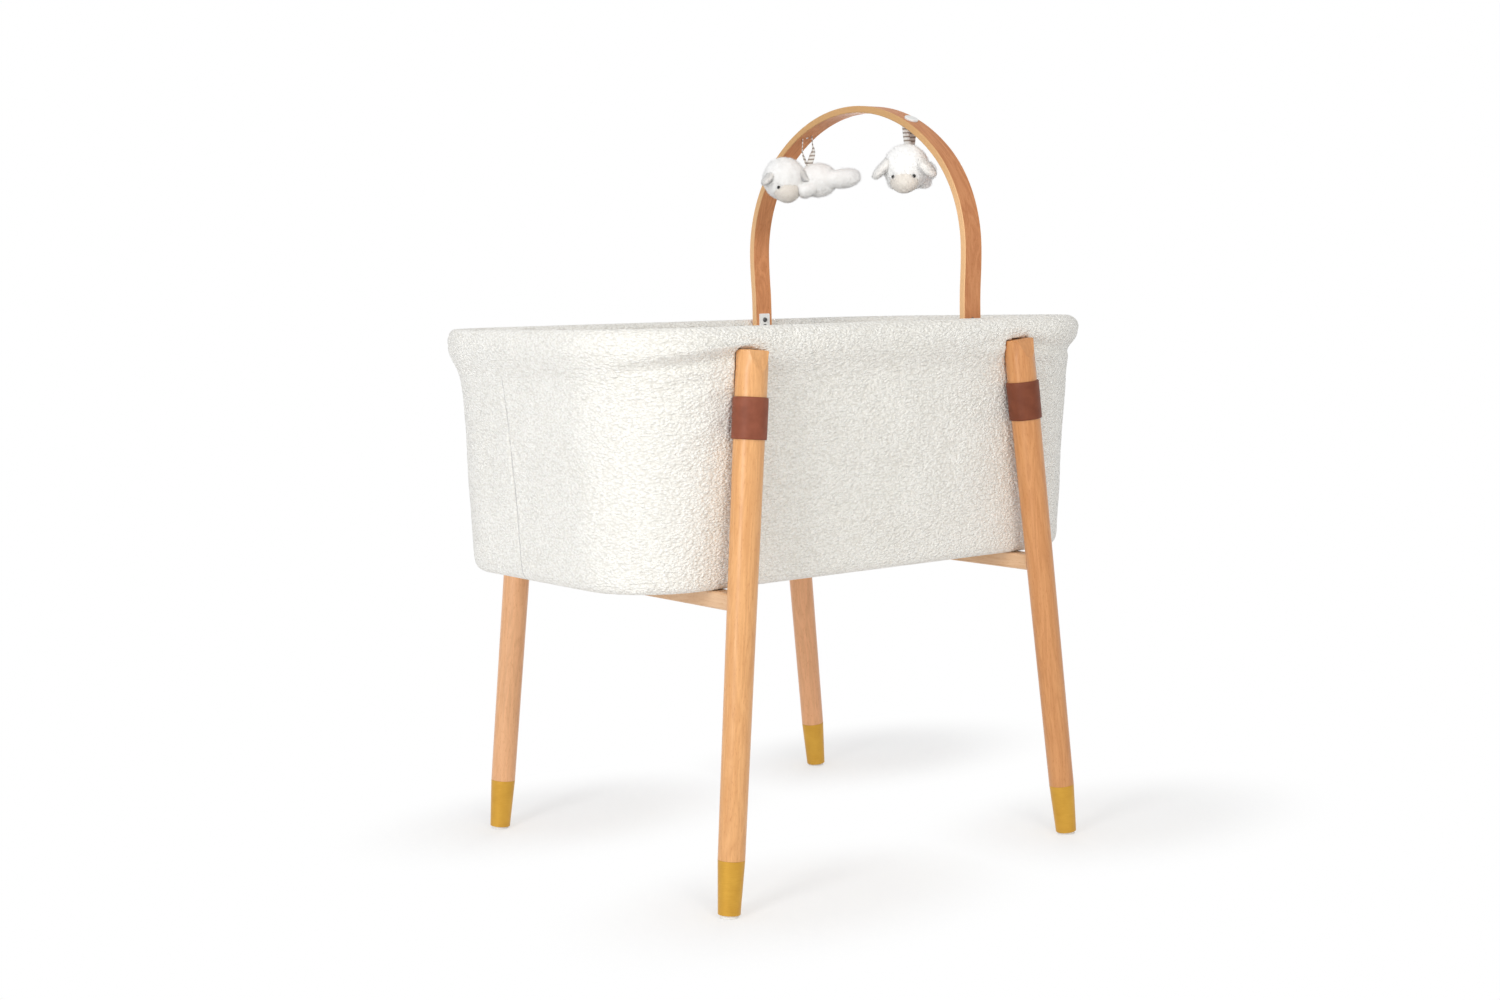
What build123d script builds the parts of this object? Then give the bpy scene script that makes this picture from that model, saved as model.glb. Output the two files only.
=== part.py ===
"""Bassinet on a splayed wooden stand, with a bent-wood toy arch and two hanging plush lambs.

Millimetres, +Z up. The origin is on the floor below the centre of the basket.
+X runs along the basket towards the head end, where the arch stands.
"""

import math
import os

from build123d import *

os.makedirs("parts", exist_ok=True)

# Clearances
glue_gap = 0.15  # round tenons, ferrules and bands on their legs
layer_gap = 0.2  # between the layers of the basket's wall
soft_gap = 0.3  # between soft pieces and their neighbours
pivot_gap = 0.05  # radial, arch foot on its pivot bolt
bolt_gap = 0.3  # radial, bolts in plain holes

# Stand
leg_end_inset = 178.9  # leg axis at the top end, in from the basket's end
leg_top_z = 700.0
leg_out = 19.5  # leg axis at the top end, out from the basket's wall
splay_x = 69.2  # how much further out the leg axis is at the floor
splay_y = 18.0
leg_top_d = 41.0
leg_low_d = 34.5  # where the wood meets the ferrule
leg_bevel_depth = 6.5  # flat on the outer side of the leg's top end
leg_bevel_height = 24.0
leg_edge = 1.2  # small chamfer round the top end

ferrule_length = 68.0
ferrule_low_d = 28.5
ferrule_wall = 1.2
glide_d = 24.0
glide_height = 3.5  # on the leg axis, before the floor cuts it flat
glide_stem_d = 5.0
glide_stem_length = 20.0

band_low = 593.0  # leather band, measured up the leg
band_height = 55.0
leather = 2.4

crossbar_width = 24.0
crossbar_height = 22.0
crossbar_edge = 3.0
tenon_d = 14.0
tenon_length = 15.0

# Basket wall: rounded outlines at the base and at the seat below the rim
base_z = 400.0
seat_z = 704.0
seat_half_x = 407.0
seat_half_y = 245.0
seat_corner = 124.0
wall_lean_x = 10.0  # how much smaller the outline is at the base, on each side
wall_lean_y = 9.7

cover_wall = 3.0
cover_bottom = 3.0
cover_bottom_edge = 13.0
panel_wall = 1.8
lining_wall = 1.2
board_thickness = 9.0

# Rim: padded roll over a steel tube
rim_top_z = 730.0
rim_bulge = 20.0  # how far the roll stands out from the wall
rim_bulge_z = 710.0  # where it stands out most
rim_shoulder = (16.4, 722.5)  # points on its round outside: out from the wall, and height
rim_under = (15.5, 693.0)
rim_low_z = 680.0
rim_hem = 2.0  # thickness of its lower edge
rim_inner_edge = 5.0
tube_d = 16.0
tube_wall = 1.5
tube_out = 5.0  # tube's centre, out from the wall's face
tube_z = 718.0

# Mattress
mattress_gap = 7.0
mattress_height = 50.0
mattress_crown = 6.0
mattress_edge = 12.0  # how far its top and bottom edges are drawn in
mattress_swell = 0.18  # share of the height where its sides stand out most
mattress_waist = 2.0  # how far its sides are drawn in at half height
crown_run = 48.0  # the crown rises over this distance from the edge

# Basket fixings
bolt_d = 6.0
bolt_head_d = 12.0
bolt_head_height = 4.0
bolt_recess = 6.0
bolt_spread = 120.0  # bolts stand this far each side of the crossbar's middle
washer_d = 12.6
washer_thickness = 1.2
tee_flange_d = 18.0
tee_flange = 1.4
tee_barrel_d = 9.0
tee_barrel_length = 7.0

# Toy arch
arch_end_inset = 239.0  # middle of the arch, in from the head end
arch_width = 31.0
arch_thickness = 9.5
arch_top_z = 1034.0
arch_rise_share = 0.6614  # bent part, as a share of the height above the pivots
arch_bend = 0.7285  # how far the bend tightens towards the uprights; 0 is even
arch_flare = 3.4  # the uprights stand further apart above the feet
arch_foot_end = 14.0  # below the pivot
arch_foot_share = 0.25  # straight feet, as a share of the uprights
arch_edge = 1.2

pivot_d = 5.0
pivot_head_d = 9.5
pivot_head_height = 2.6
pivot_head_taper = 20.0
pivot_slot = 1.3
pivot_plate_width = 19.0
pivot_plate_low = 9.5  # below the pivot
pivot_plate_high = 21.0  # above it
pivot_plate = 2.0
pivot_plate_corner = 2.0
plate_screw_d = 4.0
plate_screw_head_d = 7.5
plate_screw_rise = 11.5  # above the pivot
insert_d = 8.0

# Hanging toys
hang_y = 114.0  # each side of the middle of the arch
button_d = 20.0
button_height = 3.0
button_stem_d = 4.0
ribbon_width = 10.0
ribbon_thickness = 0.9
ribbon_length = 42.0
ribbon_bow = 5.0  # each strand bows out this far
ribbon_turn = 1.2  # half width of the loop at its top
toy_drop = 62.0  # from the hanging point to the middle of the toy

# Plush lambs. Places and directions are given as ahead, to the side, and up
head_r = 31.0
head_place = (35.5, 0.0, 3.0)  # from the middle of the toy
body_half_length = 29.0
body_r = 24.5
body_place = (-15.0, 0.0, 0.0)
face_pitch = 40.0  # how far the face looks down
muzzle_half_width = 19.0
muzzle_half_height = 16.2
muzzle_place = (23.0, 0.0, -4.0)  # from the head's centre, along the face
eye_r = 2.7
eye_way = (0.87, 0.46, 0.15)
ear_length = 30.0
ear_half_width = 11.0
ear_half_thick = 4.5
ear_sink = 0.85  # share of the head's radius where the ear starts
ear_root_way = (0.5, 0.75, 0.3)
ear_way = (0.25, 0.7, -0.75)
arm_length = 26.0
arm_r = 10.0
arm_place = (6.0, 13.5, -11.0)  # from the body's centre
arm_way = (0.8, 0.45, -0.25)
hind_length = 48.0
hind_r = 13.0
hind_place = (-14.0, 13.0, 0.0)
hind_way = (-1.0, 0.1, 0.08)

# Each lamb: side of the arch, heading of the body and of the face in degrees from +X
lambs = {"back_lamb": (1, 143.0, 246.0), "front_lamb": (-1, 220.0, 220.0)}

# Values that follow from those above
base_half_x = seat_half_x - wall_lean_x
base_half_y = seat_half_y - wall_lean_y
base_corner = seat_corner - wall_lean_x
leg_top_x = seat_half_x - leg_end_inset
leg_top_y = seat_half_y + leg_out
foot_x = leg_top_x + splay_x
foot_y = leg_top_y + splay_y
leg_length = math.hypot(foot_x - leg_top_x, foot_y - leg_top_y, leg_top_z)
ferrule_top = glide_height + ferrule_length
leg_taper = (leg_top_d - leg_low_d) / 2 / (leg_length - ferrule_top)
bar_z = base_z - crossbar_height / 2
bar_share = bar_z / leg_top_z
bar_x = foot_x + (leg_top_x - foot_x) * bar_share
bar_end_y = foot_y + (leg_top_y - foot_y) * bar_share
bar_bottom_z = base_z - crossbar_height
bar_leg_r = leg_low_d / 2 + leg_taper * (leg_length * bar_share - ferrule_top)
bolt_places = [(sx * bar_x, sy * bolt_spread) for sx in (-1, 1) for sy in (-1, 1)]
panel_inset = cover_wall + layer_gap
lining_inset = panel_inset + panel_wall + layer_gap
inside_inset = lining_inset + lining_wall
board_z = base_z + cover_bottom
board_top_z = board_z + board_thickness
lining_z = board_top_z + layer_gap
mattress_z = lining_z + lining_wall + soft_gap
pivot_z = tube_z
arch_foot_half = seat_half_y - inside_inset - soft_gap  # outer faces of the arch's feet
arch_half = arch_foot_half + arch_flare  # outer faces of its uprights
arch_x = seat_half_x - arch_end_inset
arch_rise = arch_rise_share * (arch_top_z - pivot_z)
arch_shoulder_z = arch_top_z - arch_rise
arch_shoulder_r = arch_rise * (arch_rise / arch_half) ** arch_bend
arch_top_r = (
    (arch_half - arch_shoulder_r) ** 2 + arch_rise**2 - arch_shoulder_r**2
) / (2 * (arch_rise - arch_shoulder_r))
arch_centre_z = arch_top_z - arch_top_r
arch_foot_z = pivot_z + arch_foot_share * (arch_shoulder_z - pivot_z)
arch_flare_run = (arch_shoulder_z - arch_foot_z) / 2
arch_flare_r = (arch_flare_run**2 + (arch_flare / 2) ** 2) / arch_flare
arch_inner_r = arch_top_r - arch_thickness
hang_tilt = math.asin(hang_y / arch_inner_r)  # radians
hang_z = arch_centre_z + arch_inner_r * math.cos(hang_tilt)

sides = {
    "front_left": (-1, -1),
    "front_right": (1, -1),
    "back_left": (-1, 1),
    "back_right": (1, 1),
}


def save(part, name):
    """Label a finished piece and write it."""
    part.label = name
    export_step(part, f"parts/{name}.step")


def leg_line(side_x, side_y):
    """Foot point and direction of a leg's axis."""
    foot = Vector(side_x * foot_x, side_y * foot_y, 0)
    top = Vector(side_x * leg_top_x, side_y * leg_top_y, leg_top_z)
    return foot, (top - foot).normalized()


def leg_plane(side_x, side_y):
    """Sketch plane that holds a leg's axis: its Y runs up the leg from the floor."""
    foot, up = leg_line(side_x, side_y)
    normal = Vector(1, 0, 0).cross(up).normalized()
    return Plane(origin=foot, x_dir=up.cross(normal), z_dir=normal)


def leg_radius(distance):
    """Radius of the wood at a distance up the leg."""
    return leg_low_d / 2 + leg_taper * (distance - ferrule_top)


def leg_cone(side_x, side_y, low, high, grow):
    """Solid round the leg's axis, larger than the wood by a given amount."""
    foot, up = leg_line(side_x, side_y)
    with BuildPart() as cone:
        with BuildSketch(leg_plane(side_x, side_y)):
            with BuildLine():
                Polyline(
                    (0, low),
                    (leg_radius(low) + grow, low),
                    (leg_radius(high) + grow, high),
                    (0, high),
                    close=True,
                )
            make_face()
        revolve(axis=Axis(foot, up))
    return cone.part


def wall_outline(z, inset):
    """Rounded outline of the basket's wall at a height, inset from its outer face."""
    share = (z - base_z) / (seat_z - base_z)
    half_x = base_half_x + (seat_half_x - base_half_x) * share - inset
    half_y = base_half_y + (seat_half_y - base_half_y) * share - inset
    corner = base_corner + (seat_corner - base_corner) * share - inset
    with BuildSketch(Plane.XY.offset(z)) as outline:
        RectangleRounded(2 * half_x, 2 * half_y, corner)
    return outline.sketch


def wall_solid(low, high, inset):
    """Filled basket shape between two heights."""
    with BuildPart() as shape:
        loft([wall_outline(low, inset), wall_outline(high, inset)], ruled=True)
    return shape.part


def rim_path(outward, z):
    """Closed path round the rim, parallel to the wall's upper outline."""
    half_x = seat_half_x + outward
    half_y = seat_half_y + outward
    corner = seat_corner + outward
    with BuildLine(Plane.XY.offset(z)) as path:
        start = Line((0, -half_y), (half_x - corner, -half_y))
        arc = JernArc(start @ 1, start % 1, corner, 90)
        side = Line(arc @ 1, (half_x, half_y - corner))
        arc = JernArc(side @ 1, side % 1, corner, 90)
        side = Line(arc @ 1, (-half_x + corner, half_y))
        arc = JernArc(side @ 1, side % 1, corner, 90)
        side = Line(arc @ 1, (-half_x, -half_y + corner))
        arc = JernArc(side @ 1, side % 1, corner, 90)
        Line(arc @ 1, start @ 0)
    return path.wire()


# Section plane of the rim at the middle of the near side: X points outward, Y up
rim_section = Plane(origin=(0, -seat_half_y, 0), x_dir=(0, -1, 0), z_dir=(-1, 0, 0))

# Legs, ferrules, glides and leather bands
basket_solid = wall_solid(base_z, seat_z, -glue_gap)
for place, (side_x, side_y) in sides.items():
    foot, up = leg_line(side_x, side_y)
    plane = leg_plane(side_x, side_y)
    leg_axis = Axis(foot, up)
    spigot_low_r = ferrule_low_d / 2 - ferrule_wall - glue_gap
    spigot_top_r = leg_low_d / 2 - ferrule_wall - glue_gap
    spigot_low = glide_height + ferrule_wall + glue_gap
    stem_top = glide_height + glide_stem_length
    stem_hole_r = glide_stem_d / 2 + glue_gap

    with BuildPart() as leg:
        with BuildSketch(plane):
            with BuildLine():
                Polyline(
                    (0, stem_top + glue_gap),
                    (stem_hole_r, stem_top + glue_gap),
                    (stem_hole_r, spigot_low),
                    (spigot_low_r, spigot_low),
                    (spigot_top_r, ferrule_top),
                    (leg_low_d / 2, ferrule_top),
                    (leg_top_d / 2, leg_length - leg_edge),
                    (leg_top_d / 2 - leg_edge, leg_length),
                    (0, leg_length),
                    close=True,
                )
            make_face()
        revolve(axis=leg_axis)
        bevel_top = foot + up * leg_length + Vector(0, side_y * (leg_top_d / 2 - leg_bevel_depth), 0)
        bevel_normal = Vector(0, side_y * leg_bevel_height, leg_bevel_depth)
        split(bisect_by=Plane(origin=bevel_top, z_dir=bevel_normal), keep=Keep.BOTTOM)
        socket = Plane(
            origin=(side_x * bar_x, side_y * (bar_end_y - 2 * bar_leg_r), bar_z),
            z_dir=(0, side_y, 0),
        )
        with BuildSketch(socket):
            Circle(tenon_d / 2 + glue_gap)
        extrude(amount=bar_leg_r + tenon_length + bolt_gap, mode=Mode.SUBTRACT)
    save(leg.part, f"leg_{place}")

    with BuildPart() as ferrule:
        with BuildSketch(plane):
            with BuildLine():
                Polyline(
                    (stem_hole_r, glide_height),
                    (ferrule_low_d / 2, glide_height),
                    (leg_low_d / 2, ferrule_top - glue_gap),
                    (leg_low_d / 2 - ferrule_wall, ferrule_top - glue_gap),
                    (ferrule_low_d / 2 - ferrule_wall, glide_height + ferrule_wall),
                    (stem_hole_r, glide_height + ferrule_wall),
                    close=True,
                )
            make_face()
        revolve(axis=leg_axis)
    save(ferrule.part, f"ferrule_{place}")

    with BuildPart() as glide:
        with BuildSketch(plane):
            with BuildLine():
                Polyline(
                    (0, -glide_height),
                    (glide_d / 2, -glide_height),
                    (glide_d / 2, glide_height),
                    (glide_stem_d / 2, glide_height),
                    (glide_stem_d / 2, stem_top),
                    (0, stem_top),
                    close=True,
                )
            make_face()
        revolve(axis=leg_axis)
        split(bisect_by=Plane.XY, keep=Keep.TOP)
    save(glide.part, f"glide_{place}")

    with BuildPart() as band:
        add(leg_cone(side_x, side_y, band_low, band_low + band_height, leather))
        band_middle = foot + up * (band_low + band_height / 2)
        tab = Plane(origin=band_middle, x_dir=(1, 0, 0), z_dir=(0, -side_y, 0))
        with BuildSketch(tab):
            Rectangle(2 * leather, band_height - 4 * leather)
        extrude(amount=leg_top_d)
        add(basket_solid, mode=Mode.SUBTRACT)
        add(leg_cone(side_x, side_y, 0, leg_length, glue_gap), mode=Mode.SUBTRACT)
    save(band.part, f"leather_band_{place}")

# Crossbars, tenoned into the legs, with recessed holes for the basket bolts
for end, side_x in (("foot_end", -1), ("head_end", 1)):
    with BuildPart() as crossbar:
        with BuildSketch(Plane.XZ.offset(-bar_end_y)):
            with Locations((side_x * bar_x, bar_z)):
                RectangleRounded(crossbar_width, crossbar_height, crossbar_edge)
        extrude(amount=2 * bar_end_y)
        for side_y in (-1, 1):
            add(leg_cone(side_x, side_y, 0, leg_length, glue_gap), mode=Mode.SUBTRACT)
            shoulder = Plane(
                origin=(side_x * bar_x, side_y * (bar_end_y - 1.5 * bar_leg_r), bar_z),
                z_dir=(0, side_y, 0),
            )
            with BuildSketch(shoulder):
                Circle(tenon_d / 2)
            extrude(amount=bar_leg_r / 2 + tenon_length)
        for bolt_y in (-bolt_spread, bolt_spread):
            hole = Plane(origin=(side_x * bar_x, bolt_y, bar_bottom_z), z_dir=(0, 0, -1))
            with Locations(hole):
                CounterBoreHole(
                    bolt_d / 2 + bolt_gap,
                    washer_d / 2 + bolt_gap,
                    bolt_recess,
                    crossbar_height,
                )
    save(crossbar.part, f"crossbar_{end}")

# Base board with a round lower edge and seats for the tee nuts
with BuildPart() as base_board:
    add(wall_solid(board_z, seat_z, panel_inset))
    fillet(base_board.faces().sort_by(Axis.Z)[0].edges(), cover_bottom_edge - panel_inset)
    split(bisect_by=Plane.XY.offset(board_top_z), keep=Keep.BOTTOM)
    with Locations(*[(x, y, board_top_z) for x, y in bolt_places]):
        CounterBoreHole(
            tee_barrel_d / 2 + bolt_gap,
            tee_flange_d / 2 + bolt_gap,
            tee_flange,
            board_thickness,
        )
save(base_board.part, "base_board")

# Bolts, washers and tee nuts that hold the basket on the crossbars
washer_z = bar_bottom_z + bolt_recess
with BuildPart() as basket_bolts:
    with BuildSketch(Plane.XY.offset(washer_z - washer_thickness)):
        with Locations(*bolt_places):
            Circle(bolt_head_d / 2)
    extrude(amount=-bolt_head_height)
    with BuildSketch(Plane.XY.offset(washer_z - washer_thickness)):
        with Locations(*bolt_places):
            Circle(bolt_d / 2)
    extrude(amount=board_top_z - washer_z)
    with BuildSketch(Plane.XY.offset(washer_z - washer_thickness - bolt_head_height)):
        with Locations(*bolt_places):
            RegularPolygon(bolt_d / 2, 6)
    extrude(amount=bolt_head_height / 2, mode=Mode.SUBTRACT)
save(basket_bolts.part, "basket_bolts")

with BuildPart() as basket_washers:
    with BuildSketch(Plane.XY.offset(washer_z)):
        with Locations(*bolt_places):
            Circle(washer_d / 2)
            Circle(bolt_d / 2 + pivot_gap, mode=Mode.SUBTRACT)
    extrude(amount=-washer_thickness)
save(basket_washers.part, "basket_washers")

with BuildPart() as tee_nuts:
    with BuildSketch(Plane.XY.offset(board_top_z)):
        with Locations(*bolt_places):
            Circle(tee_flange_d / 2)
    extrude(amount=-tee_flange)
    with BuildSketch(Plane.XY.offset(board_top_z)):
        with Locations(*bolt_places):
            Circle(tee_barrel_d / 2)
    extrude(amount=-tee_barrel_length)
    with BuildSketch(Plane.XY.offset(board_top_z)):
        with Locations(*bolt_places):
            Circle(bolt_d / 2 + pivot_gap)
    extrude(amount=-tee_barrel_length, mode=Mode.SUBTRACT)
save(tee_nuts.part, "tee_nuts")

# Outer cover: a stretched cup with a rounded bottom edge, pressed in a little by the leg tops
with BuildPart() as outer_cover:
    add(wall_solid(base_z, seat_z, 0))
    fillet(outer_cover.faces().sort_by(Axis.Z)[0].edges(), cover_bottom_edge)
    with BuildPart(mode=Mode.SUBTRACT) as hollow:
        add(wall_solid(board_z, seat_z, cover_wall))
        fillet(hollow.faces().sort_by(Axis.Z)[0].edges(), cover_bottom_edge - cover_wall)
    for side_x, side_y in sides.values():
        add(leg_cone(side_x, side_y, base_z, leg_length, soft_gap), mode=Mode.SUBTRACT)
    with BuildSketch(Plane.XY.offset(base_z)):
        with Locations(*bolt_places):
            Circle(bolt_d / 2 + bolt_gap)
    extrude(amount=cover_bottom, mode=Mode.SUBTRACT)
save(outer_cover.part, "outer_cover")

# Stiff wall panel, standing on the base board inside the cover
with BuildPart() as wall_panel:
    add(wall_solid(board_top_z, seat_z, panel_inset))
    add(wall_solid(board_top_z, seat_z, panel_inset + panel_wall), mode=Mode.SUBTRACT)
save(wall_panel.part, "wall_panel")

# Inner lining, a sewn cup inside the panel
with BuildPart() as inner_lining:
    add(wall_solid(lining_z, seat_z, lining_inset))
    add(wall_solid(lining_z + lining_wall, seat_z, inside_inset), mode=Mode.SUBTRACT)
save(inner_lining.part, "inner_lining")

# Steel tube that shapes the rim, with cross holes for the pivot inserts
with BuildPart() as rim_tube:
    with BuildSketch(rim_section):
        with Locations((tube_out, tube_z)):
            Circle(tube_d / 2)
            Circle(tube_d / 2 - tube_wall, mode=Mode.SUBTRACT)
    sweep(path=rim_path(tube_out, tube_z))
    for side_y in (-1, 1):
        with BuildSketch(Plane(origin=(arch_x, 0, pivot_z), z_dir=(0, side_y, 0))):
            Circle(insert_d / 2 + glue_gap)
        extrude(amount=seat_half_y + tube_d, mode=Mode.SUBTRACT)
save(rim_tube.part, "rim_tube")

# Padded rim roll: it sits on the wall's top edge, hides the tube and bulges outward
with BuildPart() as rim_roll:
    with BuildSketch(rim_section):
        with BuildLine():
            inner = Line((-inside_inset, seat_z + soft_gap), (-inside_inset, rim_top_z - rim_inner_edge))
            corner = RadiusArc(inner @ 1, (rim_inner_edge - inside_inset, rim_top_z), rim_inner_edge)
            top = Line(corner @ 1, (tube_out, rim_top_z))
            shoulder = ThreePointArc(top @ 1, rim_shoulder, (rim_bulge, rim_bulge_z))
            under = ThreePointArc(shoulder @ 1, rim_under, (soft_gap + rim_hem, rim_low_z))
            hem = Line(under @ 1, (soft_gap, rim_low_z))
            back = Line(hem @ 1, (soft_gap, seat_z + soft_gap))
            Line(back @ 1, inner @ 0)
        make_face()
        with Locations((tube_out, tube_z)):
            Circle(tube_d / 2 + glue_gap, mode=Mode.SUBTRACT)
    sweep(path=rim_path(0, 0))
    for side_x, side_y in sides.values():
        add(leg_cone(side_x, side_y, base_z, leg_length + soft_gap, soft_gap), mode=Mode.SUBTRACT)
    for side_y in (-1, 1):
        with BuildSketch(Plane(origin=(arch_x, 0, pivot_z), z_dir=(0, side_y, 0))):
            Circle(pivot_d / 2 + bolt_gap)
        extrude(amount=seat_half_y + tube_out, mode=Mode.SUBTRACT)
save(rim_roll.part, "rim_roll")


# Mattress with drawn-in edges, slightly hollow sides and a crowned top
def mattress_outline(height, inset):
    """Outline of the mattress at a height above its underside."""
    outline = wall_outline(base_z, inside_inset + mattress_gap + inset)
    return outline.moved(Location((0, 0, mattress_z + height - base_z)))


with BuildPart() as mattress:
    mattress_top = mattress_outline(mattress_height, mattress_edge)
    loft(
        [
            mattress_outline(0, mattress_edge),
            mattress_outline(mattress_swell * mattress_height, 0),
            mattress_outline(mattress_height / 2, mattress_waist),
            mattress_outline((1 - mattress_swell) * mattress_height, 0),
            mattress_top,
        ]
    )
    crown_slope = math.degrees(math.atan2(crown_run, mattress_crown))
    extrude(mattress_top, amount=mattress_crown, taper=crown_slope)
save(mattress.part, "mattress")


# Toy arch: one bent strip with rounded feet on the two pivots
def arch_curve(depth):
    """Half of the arch's outline at a depth below its outer face, from the foot to the top."""
    half = arch_half - depth
    bend_step = arch_top_r - arch_shoulder_r
    tangent = math.atan2(
        (arch_shoulder_z - arch_centre_z) / bend_step,
        (arch_half - arch_shoulder_r) / bend_step,
    )
    foot_half = arch_foot_half - depth
    foot = (foot_half, pivot_z - arch_foot_end)
    ankle = (foot_half, arch_foot_z)
    knee = (half - arch_flare / 2, (arch_foot_z + arch_shoulder_z) / 2)
    shoulder = (half, arch_shoulder_z)
    turn = (
        (arch_top_r - depth) * math.cos(tangent),
        arch_centre_z + (arch_top_r - depth) * math.sin(tangent),
    )
    top = (0, arch_top_z - depth)
    return foot, ankle, knee, shoulder, turn, top


def hang_plane(side_y, radius):
    """Plane across the arch's radius through a hanging point, at a distance from its centre."""
    out = Vector(0, side_y * math.sin(hang_tilt), math.cos(hang_tilt))
    return Plane(origin=Vector(arch_x, 0, arch_centre_z) + out * radius, x_dir=(1, 0, 0), z_dir=out)


def pivot_plane(side_y, distance):
    """Plane across an arch pivot at a distance from the middle, facing the middle."""
    return Plane(origin=(arch_x, side_y * distance, pivot_z), x_dir=(1, 0, 0), z_dir=(0, -side_y, 0))


arch_plane = Plane(origin=(arch_x - arch_width / 2, 0, 0), x_dir=(0, 1, 0), z_dir=(1, 0, 0))
with BuildPart() as toy_arch:
    with BuildSketch(arch_plane):
        with BuildLine():
            foot, ankle, knee, shoulder, turn, top = arch_curve(0)
            foot_in, ankle_in, knee_in, shoulder_in, turn_in, top_in = arch_curve(arch_thickness)
            Line(foot, ankle)
            RadiusArc(ankle, knee, arch_flare_r)
            RadiusArc(knee, shoulder, -arch_flare_r)
            RadiusArc(shoulder, turn, -arch_shoulder_r)
            RadiusArc(turn, top, -arch_top_r)
            Line(top, top_in)
            RadiusArc(top_in, turn_in, arch_inner_r)
            RadiusArc(turn_in, shoulder_in, arch_shoulder_r - arch_thickness)
            RadiusArc(shoulder_in, knee_in, arch_flare_r)
            RadiusArc(knee_in, ankle_in, -arch_flare_r)
            Line(ankle_in, foot_in)
            Line(foot_in, foot)
        make_face()
    extrude(amount=arch_width)
    mirror(about=Plane.XZ)
    fillet(toy_arch.edges().filter_by(Axis.Y).group_by(Axis.Z)[0], arch_foot_end - 1)
    fillet(toy_arch.faces().filter_by(Axis.X).edges(), arch_edge)
    for side_y in (-1, 1):
        with BuildSketch(Plane(origin=(arch_x, 0, pivot_z), x_dir=(1, 0, 0), z_dir=(0, -side_y, 0))):
            Circle(pivot_d / 2 + pivot_gap)
            with Locations((0, side_y * plate_screw_rise)):
                Circle(plate_screw_d / 2 + glue_gap)
        extrude(amount=-seat_half_y, mode=Mode.SUBTRACT)
        with BuildSketch(hang_plane(side_y, 0)):
            Circle(button_stem_d / 2 + glue_gap)
        extrude(amount=arch_top_r + arch_thickness, mode=Mode.SUBTRACT)
save(toy_arch.part, "toy_arch")

# Arch pivots: slotted bolts through a plate and the foot into an insert in the rim tube
plate_y = arch_foot_half - arch_thickness
head_y = plate_y - pivot_plate - soft_gap
insert_half = math.sqrt((tube_d / 2) ** 2 - (insert_d / 2) ** 2)
insert_y = seat_half_y + tube_out

with BuildPart() as pivot_plates:
    for side_y in (-1, 1):
        with BuildSketch(pivot_plane(side_y, plate_y)):
            with Locations((0, side_y * (pivot_plate_high - pivot_plate_low) / 2)):
                RectangleRounded(
                    pivot_plate_width,
                    pivot_plate_high + pivot_plate_low,
                    pivot_plate_corner,
                )
            Circle(pivot_d / 2 + pivot_gap, mode=Mode.SUBTRACT)
            with Locations((0, side_y * plate_screw_rise)):
                Circle(plate_screw_d / 2 + glue_gap, mode=Mode.SUBTRACT)
        extrude(amount=pivot_plate)
save(pivot_plates.part, "pivot_plates")

# Slotted screws that hold the plates on the feet, their ends flush with the outer faces
with BuildPart() as plate_screws:
    for side_y in (-1, 1):
        seat = pivot_plane(side_y, plate_y - pivot_plate - glue_gap)
        place = (0, side_y * plate_screw_rise)
        with BuildSketch(seat):
            with Locations(place):
                Circle(plate_screw_head_d / 2)
        extrude(amount=pivot_head_height, taper=pivot_head_taper)
        with BuildSketch(seat.offset(pivot_head_height / 2)):
            with Locations(place):
                Rectangle(plate_screw_head_d, pivot_slot, rotation=45)
        extrude(amount=pivot_head_height, mode=Mode.SUBTRACT)
        with BuildSketch(seat):
            with Locations(place):
                Circle(plate_screw_d / 2)
        extrude(amount=-(arch_thickness + pivot_plate + glue_gap))
save(plate_screws.part, "plate_screws")

with BuildPart() as pivot_bolts:
    for side_y in (-1, 1):
        seat = pivot_plane(side_y, head_y)
        with BuildSketch(seat):
            Circle(pivot_head_d / 2)
        extrude(amount=pivot_head_height, taper=pivot_head_taper)
        with BuildSketch(seat.offset(pivot_head_height / 2)):
            Rectangle(pivot_head_d, pivot_slot, rotation=45)
        extrude(amount=pivot_head_height, mode=Mode.SUBTRACT)
        with BuildSketch(seat):
            Circle(pivot_d / 2)
        extrude(amount=-(insert_y - head_y))
save(pivot_bolts.part, "pivot_bolts")

with BuildPart() as pivot_inserts:
    for side_y in (-1, 1):
        with BuildSketch(pivot_plane(side_y, insert_y + insert_half)):
            Circle(insert_d / 2)
            Circle(pivot_d / 2 + pivot_gap, mode=Mode.SUBTRACT)
        extrude(amount=2 * insert_half)
save(pivot_inserts.part, "pivot_inserts")


# Stuffed forms: share of the length, then of the half width and half height
ball_shares = (0.02, 0.12, 0.3, 0.5, 0.7, 0.88, 0.98)
ball_rounds = [2 * math.sqrt(share * (1 - share)) for share in ball_shares]
ball_form = list(zip(ball_shares, ball_rounds, ball_rounds))
limb_form = [(0.0, 0.7, 0.7), (0.25, 0.95, 0.95), (0.6, 1.0, 1.0), (0.85, 0.8, 0.8), (1.0, 0.35, 0.35)]
ear_form = [(0.0, 0.6, 1.0), (0.35, 1.0, 1.0), (0.7, 0.95, 0.9), (1.0, 0.3, 0.4)]


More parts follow.
